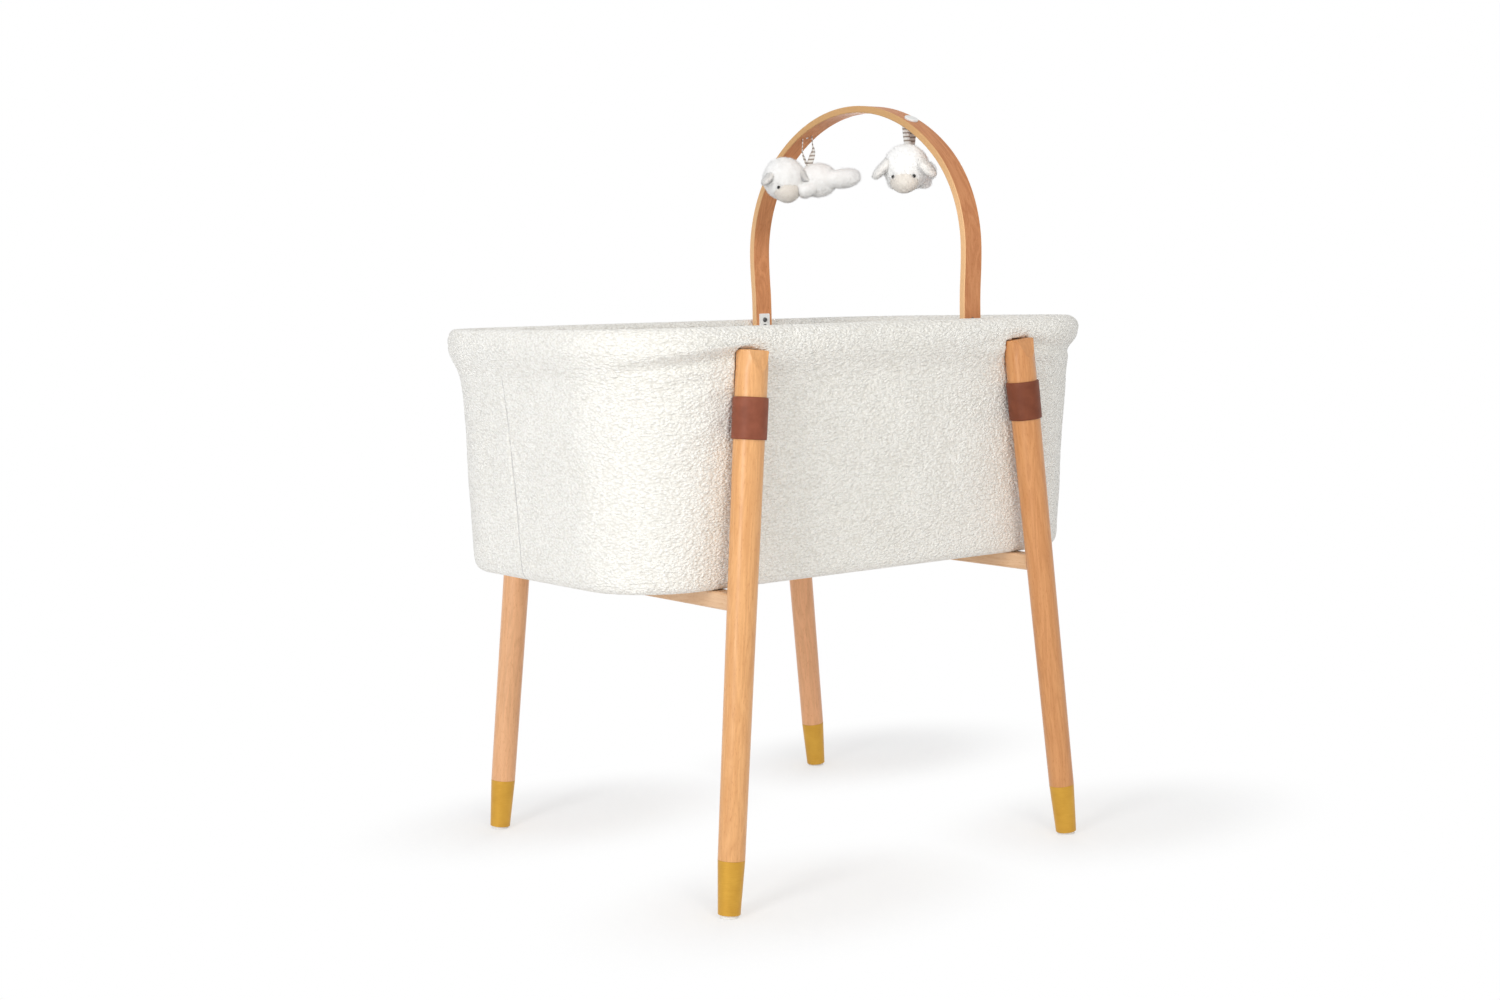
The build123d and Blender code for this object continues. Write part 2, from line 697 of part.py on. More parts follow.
def plump(start, way, form, half_width, half_height):
    """Sections of a stuffed form along a way, each an ellipse of four arcs."""
    side = way.cross(Vector(0, 0, 1))
    sections = []
    for share, wide, high in form:
        plane = Plane(origin=start + way * share, x_dir=side, z_dir=way)
        with BuildSketch(plane) as section:
            with BuildLine():
                for turn in (0, 90, 180, 270):
                    EllipticalCenterArc((0, 0), half_width * wide, half_height * high, turn, arc_size=90)
            make_face()
        sections.append(section.sketch)
    return sections


def heading(degrees):
    """Level direction at an angle from +X."""
    return Vector(math.cos(math.radians(degrees)), math.sin(math.radians(degrees)), 0)


def combine(directions, amounts, hand):
    """Sum of an ahead, a sideways and an upward direction; hand -1 mirrors the sideways one."""
    ahead, side, up = directions
    return ahead * amounts[0] + side * (amounts[1] * hand) + up * amounts[2]


# Plush lambs
upward = Vector(0, 0, 1)
pitch = math.radians(face_pitch)
for lamb, (side_y, body_angle, face_angle) in lambs.items():
    body_ways = (heading(body_angle), heading(body_angle + 90), upward)
    face_level = heading(face_angle)
    face_side = heading(face_angle + 90)
    level_ways = (face_level, face_side, upward)
    face_out = face_level * math.cos(pitch) - upward * math.sin(pitch)
    face_up = face_level * math.sin(pitch) + upward * math.cos(pitch)
    face_ways = (face_out, face_side, face_up)
    middle = Vector(arch_x, side_y * hang_y, hang_z - toy_drop)
    head_centre = middle + combine(body_ways, head_place, 1)
    body_centre = middle + combine(body_ways, body_place, 1)

    with BuildPart() as head:
        loft(plump(head_centre - face_out * head_r, face_out * (2 * head_r), ball_form, head_r, head_r))
    save(head.part, f"{lamb}_head")

    with BuildPart() as body:
        rear = body_centre - body_ways[0] * body_half_length
        loft(plump(rear, body_ways[0] * (2 * body_half_length), ball_form, body_r, body_r))
        add(head.part, mode=Mode.SUBTRACT)
    save(body.part, f"{lamb}_body")

    with BuildPart() as face:
        muzzle_back = head_centre + combine(face_ways, muzzle_place, 1) - face_out * muzzle_half_width
        muzzle_way = face_out * (2 * muzzle_half_width)
        loft(plump(muzzle_back, muzzle_way, ball_form, muzzle_half_width, muzzle_half_height))
        add(head.part, mode=Mode.SUBTRACT)
        add(body.part, mode=Mode.SUBTRACT)
    save(face.part, f"{lamb}_face")

    with BuildPart() as eyes:
        for hand in (-1, 1):
            look = combine(face_ways, eye_way, hand).normalized()
            with Locations(head_centre + look * head_r):
                Sphere(eye_r)
        add(head.part, mode=Mode.SUBTRACT)
        add(face.part, mode=Mode.SUBTRACT)
    save(eyes.part, f"{lamb}_eyes")

    for hand, word in ((1, "left"), (-1, "right")):
        with BuildPart() as ear:
            cheek = combine(level_ways, ear_root_way, hand).normalized()
            droop = combine(level_ways, ear_way, hand).normalized()
            root = head_centre + cheek * (ear_sink * head_r)
            loft(plump(root, droop * ear_length, ear_form, ear_half_width, ear_half_thick))
            add(head.part, mode=Mode.SUBTRACT)
            add(body.part, mode=Mode.SUBTRACT)
        save(ear.part, f"{lamb}_{word}_ear")

        with BuildPart() as arm:
            root = body_centre + combine(body_ways, arm_place, hand)
            reach = combine(body_ways, arm_way, hand).normalized()
            loft(plump(root, reach * arm_length, limb_form, arm_r, arm_r))
            for neighbour in (body, head, face, eyes):
                add(neighbour.part, mode=Mode.SUBTRACT)
        save(arm.part, f"{lamb}_{word}_arm")

        with BuildPart() as hind:
            root = body_centre + combine(body_ways, hind_place, hand)
            reach = combine(body_ways, hind_way, hand).normalized()
            loft(plump(root, reach * hind_length, limb_form, hind_r, hind_r))
            add(body.part, mode=Mode.SUBTRACT)
        save(hind.part, f"{lamb}_{word}_leg")

    # Ribbon loop: its round top hangs just under the arch, its strands bow apart and meet in the neck
    tangent = Vector(0, math.cos(hang_tilt), -side_y * math.sin(hang_tilt))
    loop_top = Vector(arch_x, side_y * hang_y, hang_z - soft_gap - ribbon_turn / math.cos(hang_tilt))
    half_width = tangent * (ribbon_width / 2)
    with BuildPart() as ribbon:
        with BuildSketch(Plane(origin=loop_top - half_width, x_dir=(1, 0, 0), z_dir=(0, -1, 0))):
            with BuildLine():
                for hand in (-1, 1):
                    ThreePointArc(
                        (hand * ribbon_turn, 0),
                        (hand * ribbon_bow, -ribbon_length / 2),
                        (0, -ribbon_length),
                    )
                ThreePointArc((-ribbon_turn, 0), (0, ribbon_turn), (ribbon_turn, 0))
            make_face()
            offset(amount=-ribbon_thickness, mode=Mode.SUBTRACT)
            with Locations((0, ribbon_turn)):
                Rectangle(4 * ribbon_turn, 2 * ribbon_turn, mode=Mode.SUBTRACT)
        extrude(amount=ribbon_width, dir=tangent)
        with BuildSketch(Plane(origin=loop_top + half_width, x_dir=(1, 0, 0), z_dir=-tangent)):
            Circle(ribbon_turn)
            Circle(ribbon_turn - ribbon_thickness, mode=Mode.SUBTRACT)
            with Locations((0, -ribbon_turn)):
                Rectangle(4 * ribbon_turn, 2 * ribbon_turn, mode=Mode.SUBTRACT)
        extrude(amount=ribbon_width)
        add(head.part, mode=Mode.SUBTRACT)
        add(body.part, mode=Mode.SUBTRACT)
    save(ribbon.part, f"{lamb}_ribbon")

    # Button on the arch's outer face, its stem through the strip
    cap_seat = hang_plane(side_y, arch_top_r)
    with BuildPart() as button:
        with BuildSketch(cap_seat):
            Circle(button_d / 2)
        extrude(amount=button_height)
        fillet(button.faces().sort_by(Axis((0, 0, 0), cap_seat.z_dir))[-1].edges(), button_height / 2)
        with BuildSketch(cap_seat):
            Circle(button_stem_d / 2)
        extrude(amount=-arch_thickness)
    save(button.part, f"{lamb}_button")
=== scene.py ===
"""Looks of the bassinet on its stand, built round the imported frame. Metres, +Z up."""

import math

import bmesh
import bpy
import numpy as np
from mathutils import Matrix, Vector, noise


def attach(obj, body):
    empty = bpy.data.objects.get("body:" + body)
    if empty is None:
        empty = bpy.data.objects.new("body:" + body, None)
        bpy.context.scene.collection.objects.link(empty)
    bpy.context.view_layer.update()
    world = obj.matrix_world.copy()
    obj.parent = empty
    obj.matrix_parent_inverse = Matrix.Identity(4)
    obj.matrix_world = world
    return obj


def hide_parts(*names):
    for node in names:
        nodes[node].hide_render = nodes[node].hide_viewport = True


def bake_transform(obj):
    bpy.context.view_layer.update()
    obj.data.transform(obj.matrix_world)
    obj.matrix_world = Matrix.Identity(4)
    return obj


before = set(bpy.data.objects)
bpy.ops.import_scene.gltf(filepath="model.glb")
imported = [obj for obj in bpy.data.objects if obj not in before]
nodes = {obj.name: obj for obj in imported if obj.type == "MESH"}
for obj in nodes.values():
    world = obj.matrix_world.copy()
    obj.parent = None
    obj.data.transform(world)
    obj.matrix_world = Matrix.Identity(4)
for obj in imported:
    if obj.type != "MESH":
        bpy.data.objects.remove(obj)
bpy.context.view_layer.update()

# Basket outline at the seat of the rim, and the height of its base
CORE_X = 0.283
CORE_Y = 0.121
CORNER = 0.124
BASE_Z = 0.400

# Half the length of the middle line that the basket's level faces close on
SPINE_X = 0.20

# Legs: axis at the floor and at the top, radii of the wood, place of the leather band
FOOT = (0.2973, 0.2825)
LEG_TOP = (0.2281, 0.2645, 0.700)
LEG_TOP_R = 0.0205
LEG_LOW_R = 0.01725
FERRULE_TOP = 0.0715
BAND_LOW = 0.5932
BAND_HEIGHT = 0.0525
SIDES = {
    "front_left": (-1, -1),
    "front_right": (1, -1),
    "back_left": (-1, 1),
    "back_right": (1, 1),
}

# Arch: its place, its width and the bend of its inner face
ARCH_X = 0.1680
ARCH_HALF_WIDTH = 0.0155
ARCH_CENTRE_Z = 0.766844
ARCH_INNER_R = 0.257656

# Level direction from the foot end's back corner towards the head end's front corner
HEAD_FRONT = np.array([0.798, -0.602, 0.0])

# Sewn seam up each end of the cover: its place at the top, and how it slants
SEAM_Y = 0.045
SEAM_TOP_Z = 0.70
SEAM_SLANT = 0.075


# Small helpers


def smoothstep(t):
    t = np.clip(t, 0, 1)
    return t * t * (3 - 2 * t)


def ramp_up(value, start, reach):
    """From 0 at the start to 1 a reach above it."""
    return smoothstep((value - start) / reach)


def ramp_down(value, end, reach):
    """From 1 a reach below the end to 0 at it."""
    return smoothstep((end - value) / reach)


def bell(offset, width):
    """A smooth bump, 1 in its middle."""
    return np.exp(-((offset / width) ** 2))


def run_length(points):
    """Length along a line of points, up to each point."""
    return np.concatenate([[0], np.cumsum(np.linalg.norm(np.diff(points, axis=0), axis=1))])


def even_curve(points, step):
    """Points at an even step along a smooth curve through the given points."""
    points = np.array(points, float)
    padded = np.vstack([2 * points[0] - points[1], points, 2 * points[-1] - points[-2]])
    per_span = 24
    t = np.linspace(0, 1, per_span, endpoint=False)[:, None]
    runs = []
    for i in range(len(points) - 1):
        a, b, c, d = padded[i : i + 4]
        linear, square, cube = c - a, 2 * a - 5 * b + 4 * c - d, 3 * b - a - 3 * c + d
        runs.append(0.5 * (2 * b + linear * t + square * t**2 + cube * t**3))
    fine = np.vstack(runs + [points[-1:]])
    length = run_length(fine)
    at = np.linspace(0, length[-1], max(2, int(round(length[-1] / step)) + 1))
    return np.column_stack([np.interp(at, length, fine[:, k]) for k in range(fine.shape[1])])


def lumps(points, scale, seed):
    """Smooth noise from -1 to 1 at each point of a list or grid."""
    shift = Vector((seed * 3.7, seed * 1.3, seed * 2.9))
    values = [noise.noise(Vector(p) * scale + shift) for p in points.reshape(-1, 3)]
    return np.array(values).reshape(points.shape[:-1])


def scattered(key, gain):
    """A fixed number from 0 to 1 for each key."""
    return np.modf(np.abs(np.sin(key)) * gain)[0]


def yarn_loops(u, v, size, round_count, seed):
    """Height from 0 to 1 of rounded loops packed over a grid that closes on itself along u."""
    u, v = u / size, v / size
    loop_reach = 0.7
    nearest = np.full(np.broadcast(u, v).shape, 9.0)
    for a in (-1, 0, 1):
        for b in (-1, 0, 1):
            cell_u, cell_v = np.floor(u) + a, np.floor(v) + b
            key = np.mod(cell_u, round_count) * 127.1 + cell_v * 311.7 + seed
            away_u = cell_u + scattered(key, 43758.5453) - u
            away_v = cell_v + scattered(key + 17.3, 24634.6345) - v
            nearest = np.minimum(nearest, away_u**2 + away_v**2)
    return 1 - np.minimum(1, nearest / loop_reach)


def new_object(name, points, faces, material):
    mesh = bpy.data.meshes.new(name)
    mesh.from_pydata([tuple(p) for p in points], [], faces)
    mesh.polygons.foreach_set("use_smooth", [True] * len(mesh.polygons))
    mesh.materials.append(material)
    obj = bpy.data.objects.new(name, mesh)
    bpy.context.scene.collection.objects.link(obj)
    return obj


def mesh_points(obj):
    return np.array([v.co for v in obj.data.vertices])


def move_points(obj, points):
    obj.data.vertices.foreach_set("co", points.astype(np.float32).ravel())
    obj.data.update()


def ring_faces(rows, columns):
    """Quads of a grid that closes on itself along its columns."""
    faces = []
    for a in range(0, (rows - 1) * columns, columns):
        for c in range(columns):
            d = (c + 1) % columns
            faces.append((a + c, a + d, a + columns + d, a + columns + c))
    return faces


def weld(obj):
    bm = bmesh.new()
    bm.from_mesh(obj.data)
    bmesh.ops.remove_doubles(bm, verts=bm.verts, dist=1e-5)
    bm.to_mesh(obj.data)
    bm.free()


def place(obj, body, slot, *stands_for):
    """Ride on a body, stand for frame nodes. The slot is not used."""
    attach(obj, body)
    if stands_for:
        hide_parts(*stands_for)


def leg_axis(side_x, side_y):
    """A leg's foot, direction and length."""
    foot = Vector((side_x * FOOT[0], side_y * FOOT[1], 0))
    top = Vector((side_x * LEG_TOP[0], side_y * LEG_TOP[1], LEG_TOP[2]))
    return foot, (top - foot).normalized(), (top - foot).length


def leg_radius(distance, length):
    """Radius of the wood at a distance along a leg of this length."""
    taper = (LEG_TOP_R - LEG_LOW_R) / (length - FERRULE_TOP)
    return LEG_LOW_R + taper * (distance - FERRULE_TOP)


def arch_roof(y):
    """Height of the arch's inner face."""
    return ARCH_CENTRE_Z + math.sqrt(ARCH_INNER_R**2 - y**2)


def level(degrees):
    """A level direction."""
    return np.array([math.cos(math.radians(degrees)), math.sin(math.radians(degrees)), 0.0])


# Materials


class Nodes:
    """A node tree with short calls for its nodes."""

    def __init__(self, tree):
        self.tree = tree

    def node(self, kind, **settings):
        made = self.tree.nodes.new(kind)
        for key, value in settings.items():
            setattr(made, key, value)
        return made

    def join(self, source, target):
        self.tree.links.new(source, target)

    def fill(self, socket, value):
        if isinstance(value, bpy.types.NodeSocket):
            self.join(value, socket)
        else:
            socket.default_value = value

    def feed(self, made, *values):
        """Fill a node's first inputs in order."""
        for socket, value in zip(made.inputs, values):
            self.fill(socket, value)
        return made

    def math(self, operation, *values):
        return self.feed(self.node("ShaderNodeMath", operation=operation), *values).outputs[0]

    def vector(self, operation, *values):
        made = self.feed(self.node("ShaderNodeVectorMath", operation=operation), *values)
        return made.outputs["Value" if operation in ("DOT_PRODUCT", "LENGTH") else "Vector"]

    def combine(self, x, y, z):
        return self.feed(self.node("ShaderNodeCombineXYZ"), x, y, z).outputs[0]

    def separate(self, vector):
        return self.feed(self.node("ShaderNodeSeparateXYZ"), vector).outputs

    def noise(self, vector, scale, detail=2.0, roughness=0.5, distortion=0.0):
        made = self.node("ShaderNodeTexNoise")
        self.join(vector, made.inputs["Vector"])
        made.inputs["Scale"].default_value = scale
        made.inputs["Detail"].default_value = detail
        made.inputs["Roughness"].default_value = roughness
        made.inputs["Distortion"].default_value = distortion
        return made.outputs["Fac"]

    def cells(self, vector, scale, smoothness=0.6):
        made = self.node("ShaderNodeTexVoronoi", feature="SMOOTH_F1")
        self.join(vector, made.inputs["Vector"])
        made.inputs["Scale"].default_value = scale
        made.inputs["Smoothness"].default_value = smoothness
        return made.outputs["Distance"]

    def ramp(self, factor, *stops):
        made = self.node("ShaderNodeValToRGB")
        self.join(factor, made.inputs[0])
        elements = made.color_ramp.elements
        while len(elements) < len(stops):
            elements.new(0.5)
        for element, (position, colour) in zip(elements, stops):
            element.position = position
            element.color = (*colour, 1)
        return made.outputs["Color"]

    def map_range(self, value, from_range, to_range, curve):
        made = self.node("ShaderNodeMapRange", interpolation_type=curve)
        return self.feed(made, value, *from_range, *to_range).outputs[0]

    def mix(self, factor, a, b, blend="MIX"):
        made = self.node("ShaderNodeMix", data_type="RGBA", blend_type=blend)
        self.fill(made.inputs[0], factor)
        self.fill(made.inputs[6], a if isinstance(a, bpy.types.NodeSocket) else (*a, 1))
        self.fill(made.inputs[7], b if isinstance(b, bpy.types.NodeSocket) else (*b, 1))
        return made.outputs[2]

    def rays(self, *kinds):
        """1 for a ray of one of these kinds, otherwise 0."""
        path = self.node("ShaderNodeLightPath").outputs
        found = path[f"Is {kinds[0]} Ray"]
        for kind in kinds[1:]:
            found = self.math("MAXIMUM", found, path[f"Is {kind} Ray"])
        return found

    def output(self, kind, factor, a, b):
        """Mix two shaders into the tree's output."""
        mixed = self.feed(self.node("ShaderNodeMixShader"), factor, a, b).outputs[0]
        self.feed(self.node(kind), mixed)


class Shader(Nodes):
    """A material with one principled surface."""

    def __init__(self, name, roughness, **sockets):
        self.material = bpy.data.materials.new(name)
        self.material.use_nodes = True
        super().__init__(self.material.node_tree)
        self.surface = self.tree.nodes["Principled BSDF"]
        self.surface.inputs["Roughness"].default_value = roughness
        for key, value in sockets.items():
            self.surface.inputs[key.replace("_", " ")].default_value = value
        self.coords = self.node("ShaderNodeTexCoord").outputs["Object"]

    def bump(self, height, distance, strength):
        made = self.node("ShaderNodeBump")
        made.inputs["Strength"].default_value = strength
        made.inputs["Distance"].default_value = distance
        self.join(height, made.inputs["Height"])
        self.join(made.outputs["Normal"], self.surface.inputs["Normal"])

    def colour(self, source):
        self.join(source, self.surface.inputs["Base Color"])


WHITE = (1, 1, 1)


def grain(s, x, y, z, light, dark, fine):
    """Wood colour and bump from coordinates across, across and along the grain."""
    streak_place = s.combine(x, y, s.math("MULTIPLY", z, 0.045))
    fleck_place = s.combine(x, y, s.math("MULTIPLY", z, 0.16))
    figure_place = s.combine(x, y, s.math("MULTIPLY", z, 0.11))
    streaks = s.noise(streak_place, fine, detail=3.0, roughness=0.6)
    flecks = s.noise(fleck_place, 900.0, detail=1.0)
    figure = s.noise(figure_place, 60.0, detail=2.0, distortion=1.2)
    rings = s.math("MULTIPLY_ADD", figure, 9.0, s.math("MULTIPLY", streaks, 1.2))
    rings = s.math("PINGPONG", rings, 1.0)
    tone = s.math("MULTIPLY_ADD", rings, 0.35, s.math("MULTIPLY", streaks, 0.65))
    base = s.ramp(tone, (0.25, dark), (0.75, light))
    fleck = s.ramp(flecks, (0.60, WHITE), (0.72, (0.88, 0.80, 0.72)))
    relief = s.math("MULTIPLY_ADD", streaks, 0.7, s.math("MULTIPLY", flecks, 0.3))
    s.bump(relief, distance=0.0002, strength=0.35)
    return s.mix(1.0, base, fleck, "MULTIPLY")


def wood(name, along, light, dark):
    """Beech: long fine streaks and a faint broad figure along a direction."""
    s = Shader(name, roughness=0.34, Specular_IOR_Level=0.5)
    along = Vector(along).normalized()
    side = along.orthogonal().normalized()
    across = along.cross(side)
    x, y, z = (s.vector("DOT_PRODUCT", s.coords, tuple(way)) for way in (side, across, along))
    s.colour(grain(s, x, y, z, light, dark, fine=420.0))
    return s.material


def arch_wood():
    """Bent strip: warm broad faces, pale thin edges, grain that follows the bend."""
    s = Shader("beech_arch", roughness=0.48, Specular_IOR_Level=0.12)
    x, y, z = s.separate(s.coords)
    bend_radius = 0.25
    lowest = -0.05
    height = s.math("SUBTRACT", z, ARCH_CENTRE_Z)
    angle = s.math("ARCTAN2", y, s.math("MAXIMUM", height, lowest))
    along = s.math("MULTIPLY", angle, bend_radius)
    square = s.math("ADD", s.math("POWER", y, 2.0), s.math("POWER", height, 2.0))
    depth = s.math("POWER", square, 0.5)
    figured = grain(s, x, depth, along, (0.776, 0.351, 0.160), (0.627, 0.253, 0.108), fine=380.0)

    # Painted light and shade: the front side is painted a little darker and the back lighter, to
    # offset the deeper shade on the back limb
    painted_light_along_y = s.math("MULTIPLY_ADD", y, 2.5, 0.5)
    broad = s.mix(1.0, figured, s.ramp(painted_light_along_y, (0.0, (0.80, 0.80, 0.80)), (1.0, WHITE)), "MULTIPLY")

    edge_depth = 0.0011
    edge = s.math("ABSOLUTE", s.math("SUBTRACT", x, ARCH_X))
    pale = s.math("GREATER_THAN", edge, ARCH_HALF_WIDTH - edge_depth)
    crown = s.map_range(z, (0.86, 1.01), (0.0, 1.0), "SMOOTHSTEP")
    thin_edge = s.mix(crown, (0.83, 0.51, 0.265), (0.63, 0.37, 0.165))
    s.colour(s.mix(pale, broad, thin_edge))
    return s.material


def boucle():
    """Looped yarn in cream: rounded nubs with painted shade in the pits and painted light on their
    tops, a soft sheen, a sewn line at both ends painted darker as shade.
    """
    s = Shader(
        "boucle", roughness=0.95, Sheen_Weight=0.3, Sheen_Roughness=0.6, Specular_IOR_Level=0.12
    )
    x, y, z = s.separate(s.coords)
    flattened = s.combine(x, y, s.math("MULTIPLY", z, 1.6))
    drift = s.math("MULTIPLY", s.noise(s.coords, 160.0, detail=1.0), 0.003)
    moved = s.vector("ADD", flattened, s.combine(drift, drift, drift))
    nubs = s.cells(moved, 225.0, smoothness=0.3)
    loops = s.noise(moved, 520.0, detail=2.0, roughness=0.6)
    patches = s.noise(s.coords, 24.0, detail=2.0)
    # Painted shade and light: the colour follows the nubs, darker in the pits between them and
    # lighter on their tops, over a random mottle from the loops
    tone = s.math("MULTIPLY_ADD", loops, 0.35, s.math("MULTIPLY_ADD", nubs, -0.9, 0.65))
    yarn = s.ramp(
        tone,
        (0.15, (0.85, 0.825, 0.768)),
        (0.40, (0.96, 0.94, 0.888)),
        (0.64, (1.0, 0.987, 0.948)),
    )
    shade = s.ramp(patches, (0.3, (0.97, 0.967, 0.96)), (0.7, WHITE))
    cloth = s.mix(1.0, yarn, shade, "MULTIPLY")

    # Painted shade: the sewn line up each end is painted darker, for the shade in the seam's crease
    line_half_width = 0.0009
    line_top_z = SEAM_TOP_Z - 0.03
    ends_from_x = 0.385
    slant = s.math("MULTIPLY_ADD", z, SEAM_SLANT, SEAM_Y - SEAM_SLANT * SEAM_TOP_Z)
    off = s.math("ABSOLUTE", s.math("ADD", y, s.math("MULTIPLY", slant, s.math("SIGN", x))))
    on_line = s.math("LESS_THAN", off, line_half_width)
    on_end = s.math("GREATER_THAN", s.math("ABSOLUTE", x), ends_from_x)
    under_roll = s.math("LESS_THAN", z, line_top_z)
    sewn = s.math("MULTIPLY", s.math("MULTIPLY", on_line, on_end), under_roll)
    s.colour(s.mix(sewn, cloth, (0.62, 0.60, 0.57)))
    relief = s.math("SUBTRACT", s.math("MULTIPLY", loops, 0.5), nubs)
    s.bump(relief, distance=0.0034, strength=0.8)
    return s.material


def woven(name, light, dark, pitch):
    """Plain weave: fine crossing threads."""
    s = Shader(name, roughness=0.9, Sheen_Weight=0.15, Specular_IOR_Level=0.2)
    x, y, z = s.separate(s.coords)
    turn = 2 * math.pi / pitch
    warp_place = s.math("ADD", x, y)
    weft_place = s.math("ADD", z, s.math("SUBTRACT", x, y))
    warp = s.math("SINE", s.math("MULTIPLY", warp_place, turn))
    weft = s.math("SINE", s.math("MULTIPLY", weft_place, turn))
    slub = s.noise(s.coords, 90.0, detail=3.0)
    tone = s.math("MULTIPLY_ADD", s.math("MULTIPLY", warp, weft), 0.12, slub)
    s.colour(s.ramp(tone, (0.3, dark), (0.7, light)))
    s.bump(tone, distance=0.0005, strength=0.5)
    return s.material


def plush(name, light, dark, scale=260.0):
    """Fleece: soft tufts in a matt pile."""
    s = Shader(name, roughness=1.0, Sheen_Weight=0.8, Sheen_Roughness=0.6, Specular_IOR_Level=0.1)
    tufts = s.noise(s.coords, scale, detail=4.0, roughness=0.65)
    s.colour(s.ramp(tufts, (0.3, dark), (0.62, light)))
    s.bump(tufts, distance=0.0016, strength=0.5)
    return s.material


def leather(name, light, dark):
    """Smooth hide with fine pores."""
    s = Shader(name, roughness=0.5, Specular_IOR_Level=0.25)
    tone = s.noise(s.coords, 70.0, detail=4.0)
    s.colour(s.ramp(tone, (0.3, dark), (0.7, light)))
    s.bump(s.cells(s.coords, 900.0), distance=0.0004, strength=0.35)
    return s.material


def brushed(name, light, dark, roughness, metallic):
    """Satin metal with faint turning marks."""
    s = Shader(name, roughness, Metallic=metallic)
    x, y, z = s.separate(s.coords)
    drawn_out = s.combine(s.math("MULTIPLY", x, 0.05), s.math("MULTIPLY", y, 0.05), z)
    marks = s.noise(drawn_out, 1800.0)
    cloud = s.noise(s.coords, 50.0, detail=3.0)
    tone = s.math("MULTIPLY_ADD", marks, 0.4, s.math("MULTIPLY", cloud, 0.6))
    s.colour(s.ramp(tone, (0.3, dark), (0.7, light)))
    s.bump(marks, distance=0.0001, strength=0.25)
    return s.material


def moulded(name, light, dark, roughness):
    """Plastic, enamel or board with a faint mottle."""
    s = Shader(name, roughness)
    mottle = s.noise(s.coords, 400.0, detail=2.0)
    s.colour(s.ramp(mottle, (0.35, dark), (0.65, light)))
    s.bump(mottle, distance=0.0001, strength=0.2)
    return s.material


def striped_ribbon():
    """Woven ribbon with narrow cross stripes. V of its map runs along it, one unit a stripe."""
    s = Shader("striped_ribbon", roughness=0.85, Sheen_Weight=0.2)
    u, v, _ = s.separate(s.node("ShaderNodeUVMap", uv_map="along").outputs[0])
    stripe = s.math("GREATER_THAN", s.math("FRACT", v), 0.60)
    threads = s.noise(s.combine(s.math("MULTIPLY", u, 30.0), v, 0.0), 14.0, detail=2.0)
    white = s.ramp(threads, (0.3, (0.72, 0.70, 0.66)), (0.7, (0.86, 0.85, 0.82)))
    brown = s.ramp(threads, (0.3, (0.28, 0.23, 0.19)), (0.7, (0.38, 0.32, 0.28)))
    s.colour(s.mix(stripe, white, brown))
    s.bump(threads, distance=0.0003, strength=0.4)
    return s.material


# Leg colours, light and dark: the front right leg's wood is darker and redder, and the back legs
# are painted lighter to offset the basket's shade on them
LEG_TONES_AND_PAINTED_LIGHT = {
    "front_left": ((0.78, 0.415, 0.172), (0.655, 0.318, 0.118)),
    "front_right": ((0.66, 0.31, 0.118), (0.55, 0.235, 0.080)),
    "back_left": ((0.82, 0.445, 0.225), (0.70, 0.365, 0.176)),
    "back_right": ((0.84, 0.435, 0.220), (0.725, 0.365, 0.175)),
}
bar_wood = wood("beech_crossbar", (0, 1, 0), (0.755, 0.50, 0.305), (0.645, 0.385, 0.205))
plywood = wood("plywood", (1, 0, 0), (0.78, 0.60, 0.40), (0.64, 0.46, 0.28))
boucle_cloth = boucle()
lining_cloth = woven("lining_cotton", (0.80, 0.79, 0.765), (0.73, 0.72, 0.69), 0.0016)
mattress_cloth = woven("mattress_cotton", (0.84, 0.835, 0.815), (0.78, 0.77, 0.75), 0.0013)
white_fleece = plush("white_plush", (0.99, 0.985, 0.975), (0.955, 0.945, 0.93))
beige_fleece = plush("beige_plush", (0.91, 0.855, 0.785), (0.83, 0.765, 0.69), 420.0)
ear_fleece = plush("ear_plush", (0.97, 0.945, 0.91), (0.92, 0.885, 0.845), 420.0)
ribbon_weave = striped_ribbon()
brass = brushed("brass", (0.68, 0.375, 0.050), (0.57, 0.295, 0.032), 0.40, 0.55)
steel = brushed("steel", (0.55, 0.55, 0.55), (0.42, 0.42, 0.42), 0.35, 1.0)
dark_steel = brushed("dark_steel", (0.20, 0.20, 0.20), (0.12, 0.12, 0.12), 0.45, 0.8)
nylon = moulded("nylon", (0.84, 0.83, 0.80), (0.78, 0.77, 0.74), 0.5)
plate_enamel = moulded("plate_enamel", (0.97, 0.965, 0.95), (0.92, 0.915, 0.90), 0.4)
button_plastic = moulded("white_button", (0.80, 0.80, 0.79), (0.74, 0.74, 0.73), 0.3)
eye_bead = moulded("black_bead", (0.014, 0.012, 0.011), (0.008, 0.007, 0.006), 0.12)
panel_board = moulded("panel_board", (0.74, 0.72, 0.68), (0.66, 0.64, 0.60), 0.7)
hide = leather("leather", (0.270, 0.080, 0.042), (0.210, 0.058, 0.029))
dark_hide = leather("dark_leather", (0.200, 0.056, 0.025), (0.155, 0.040, 0.017))

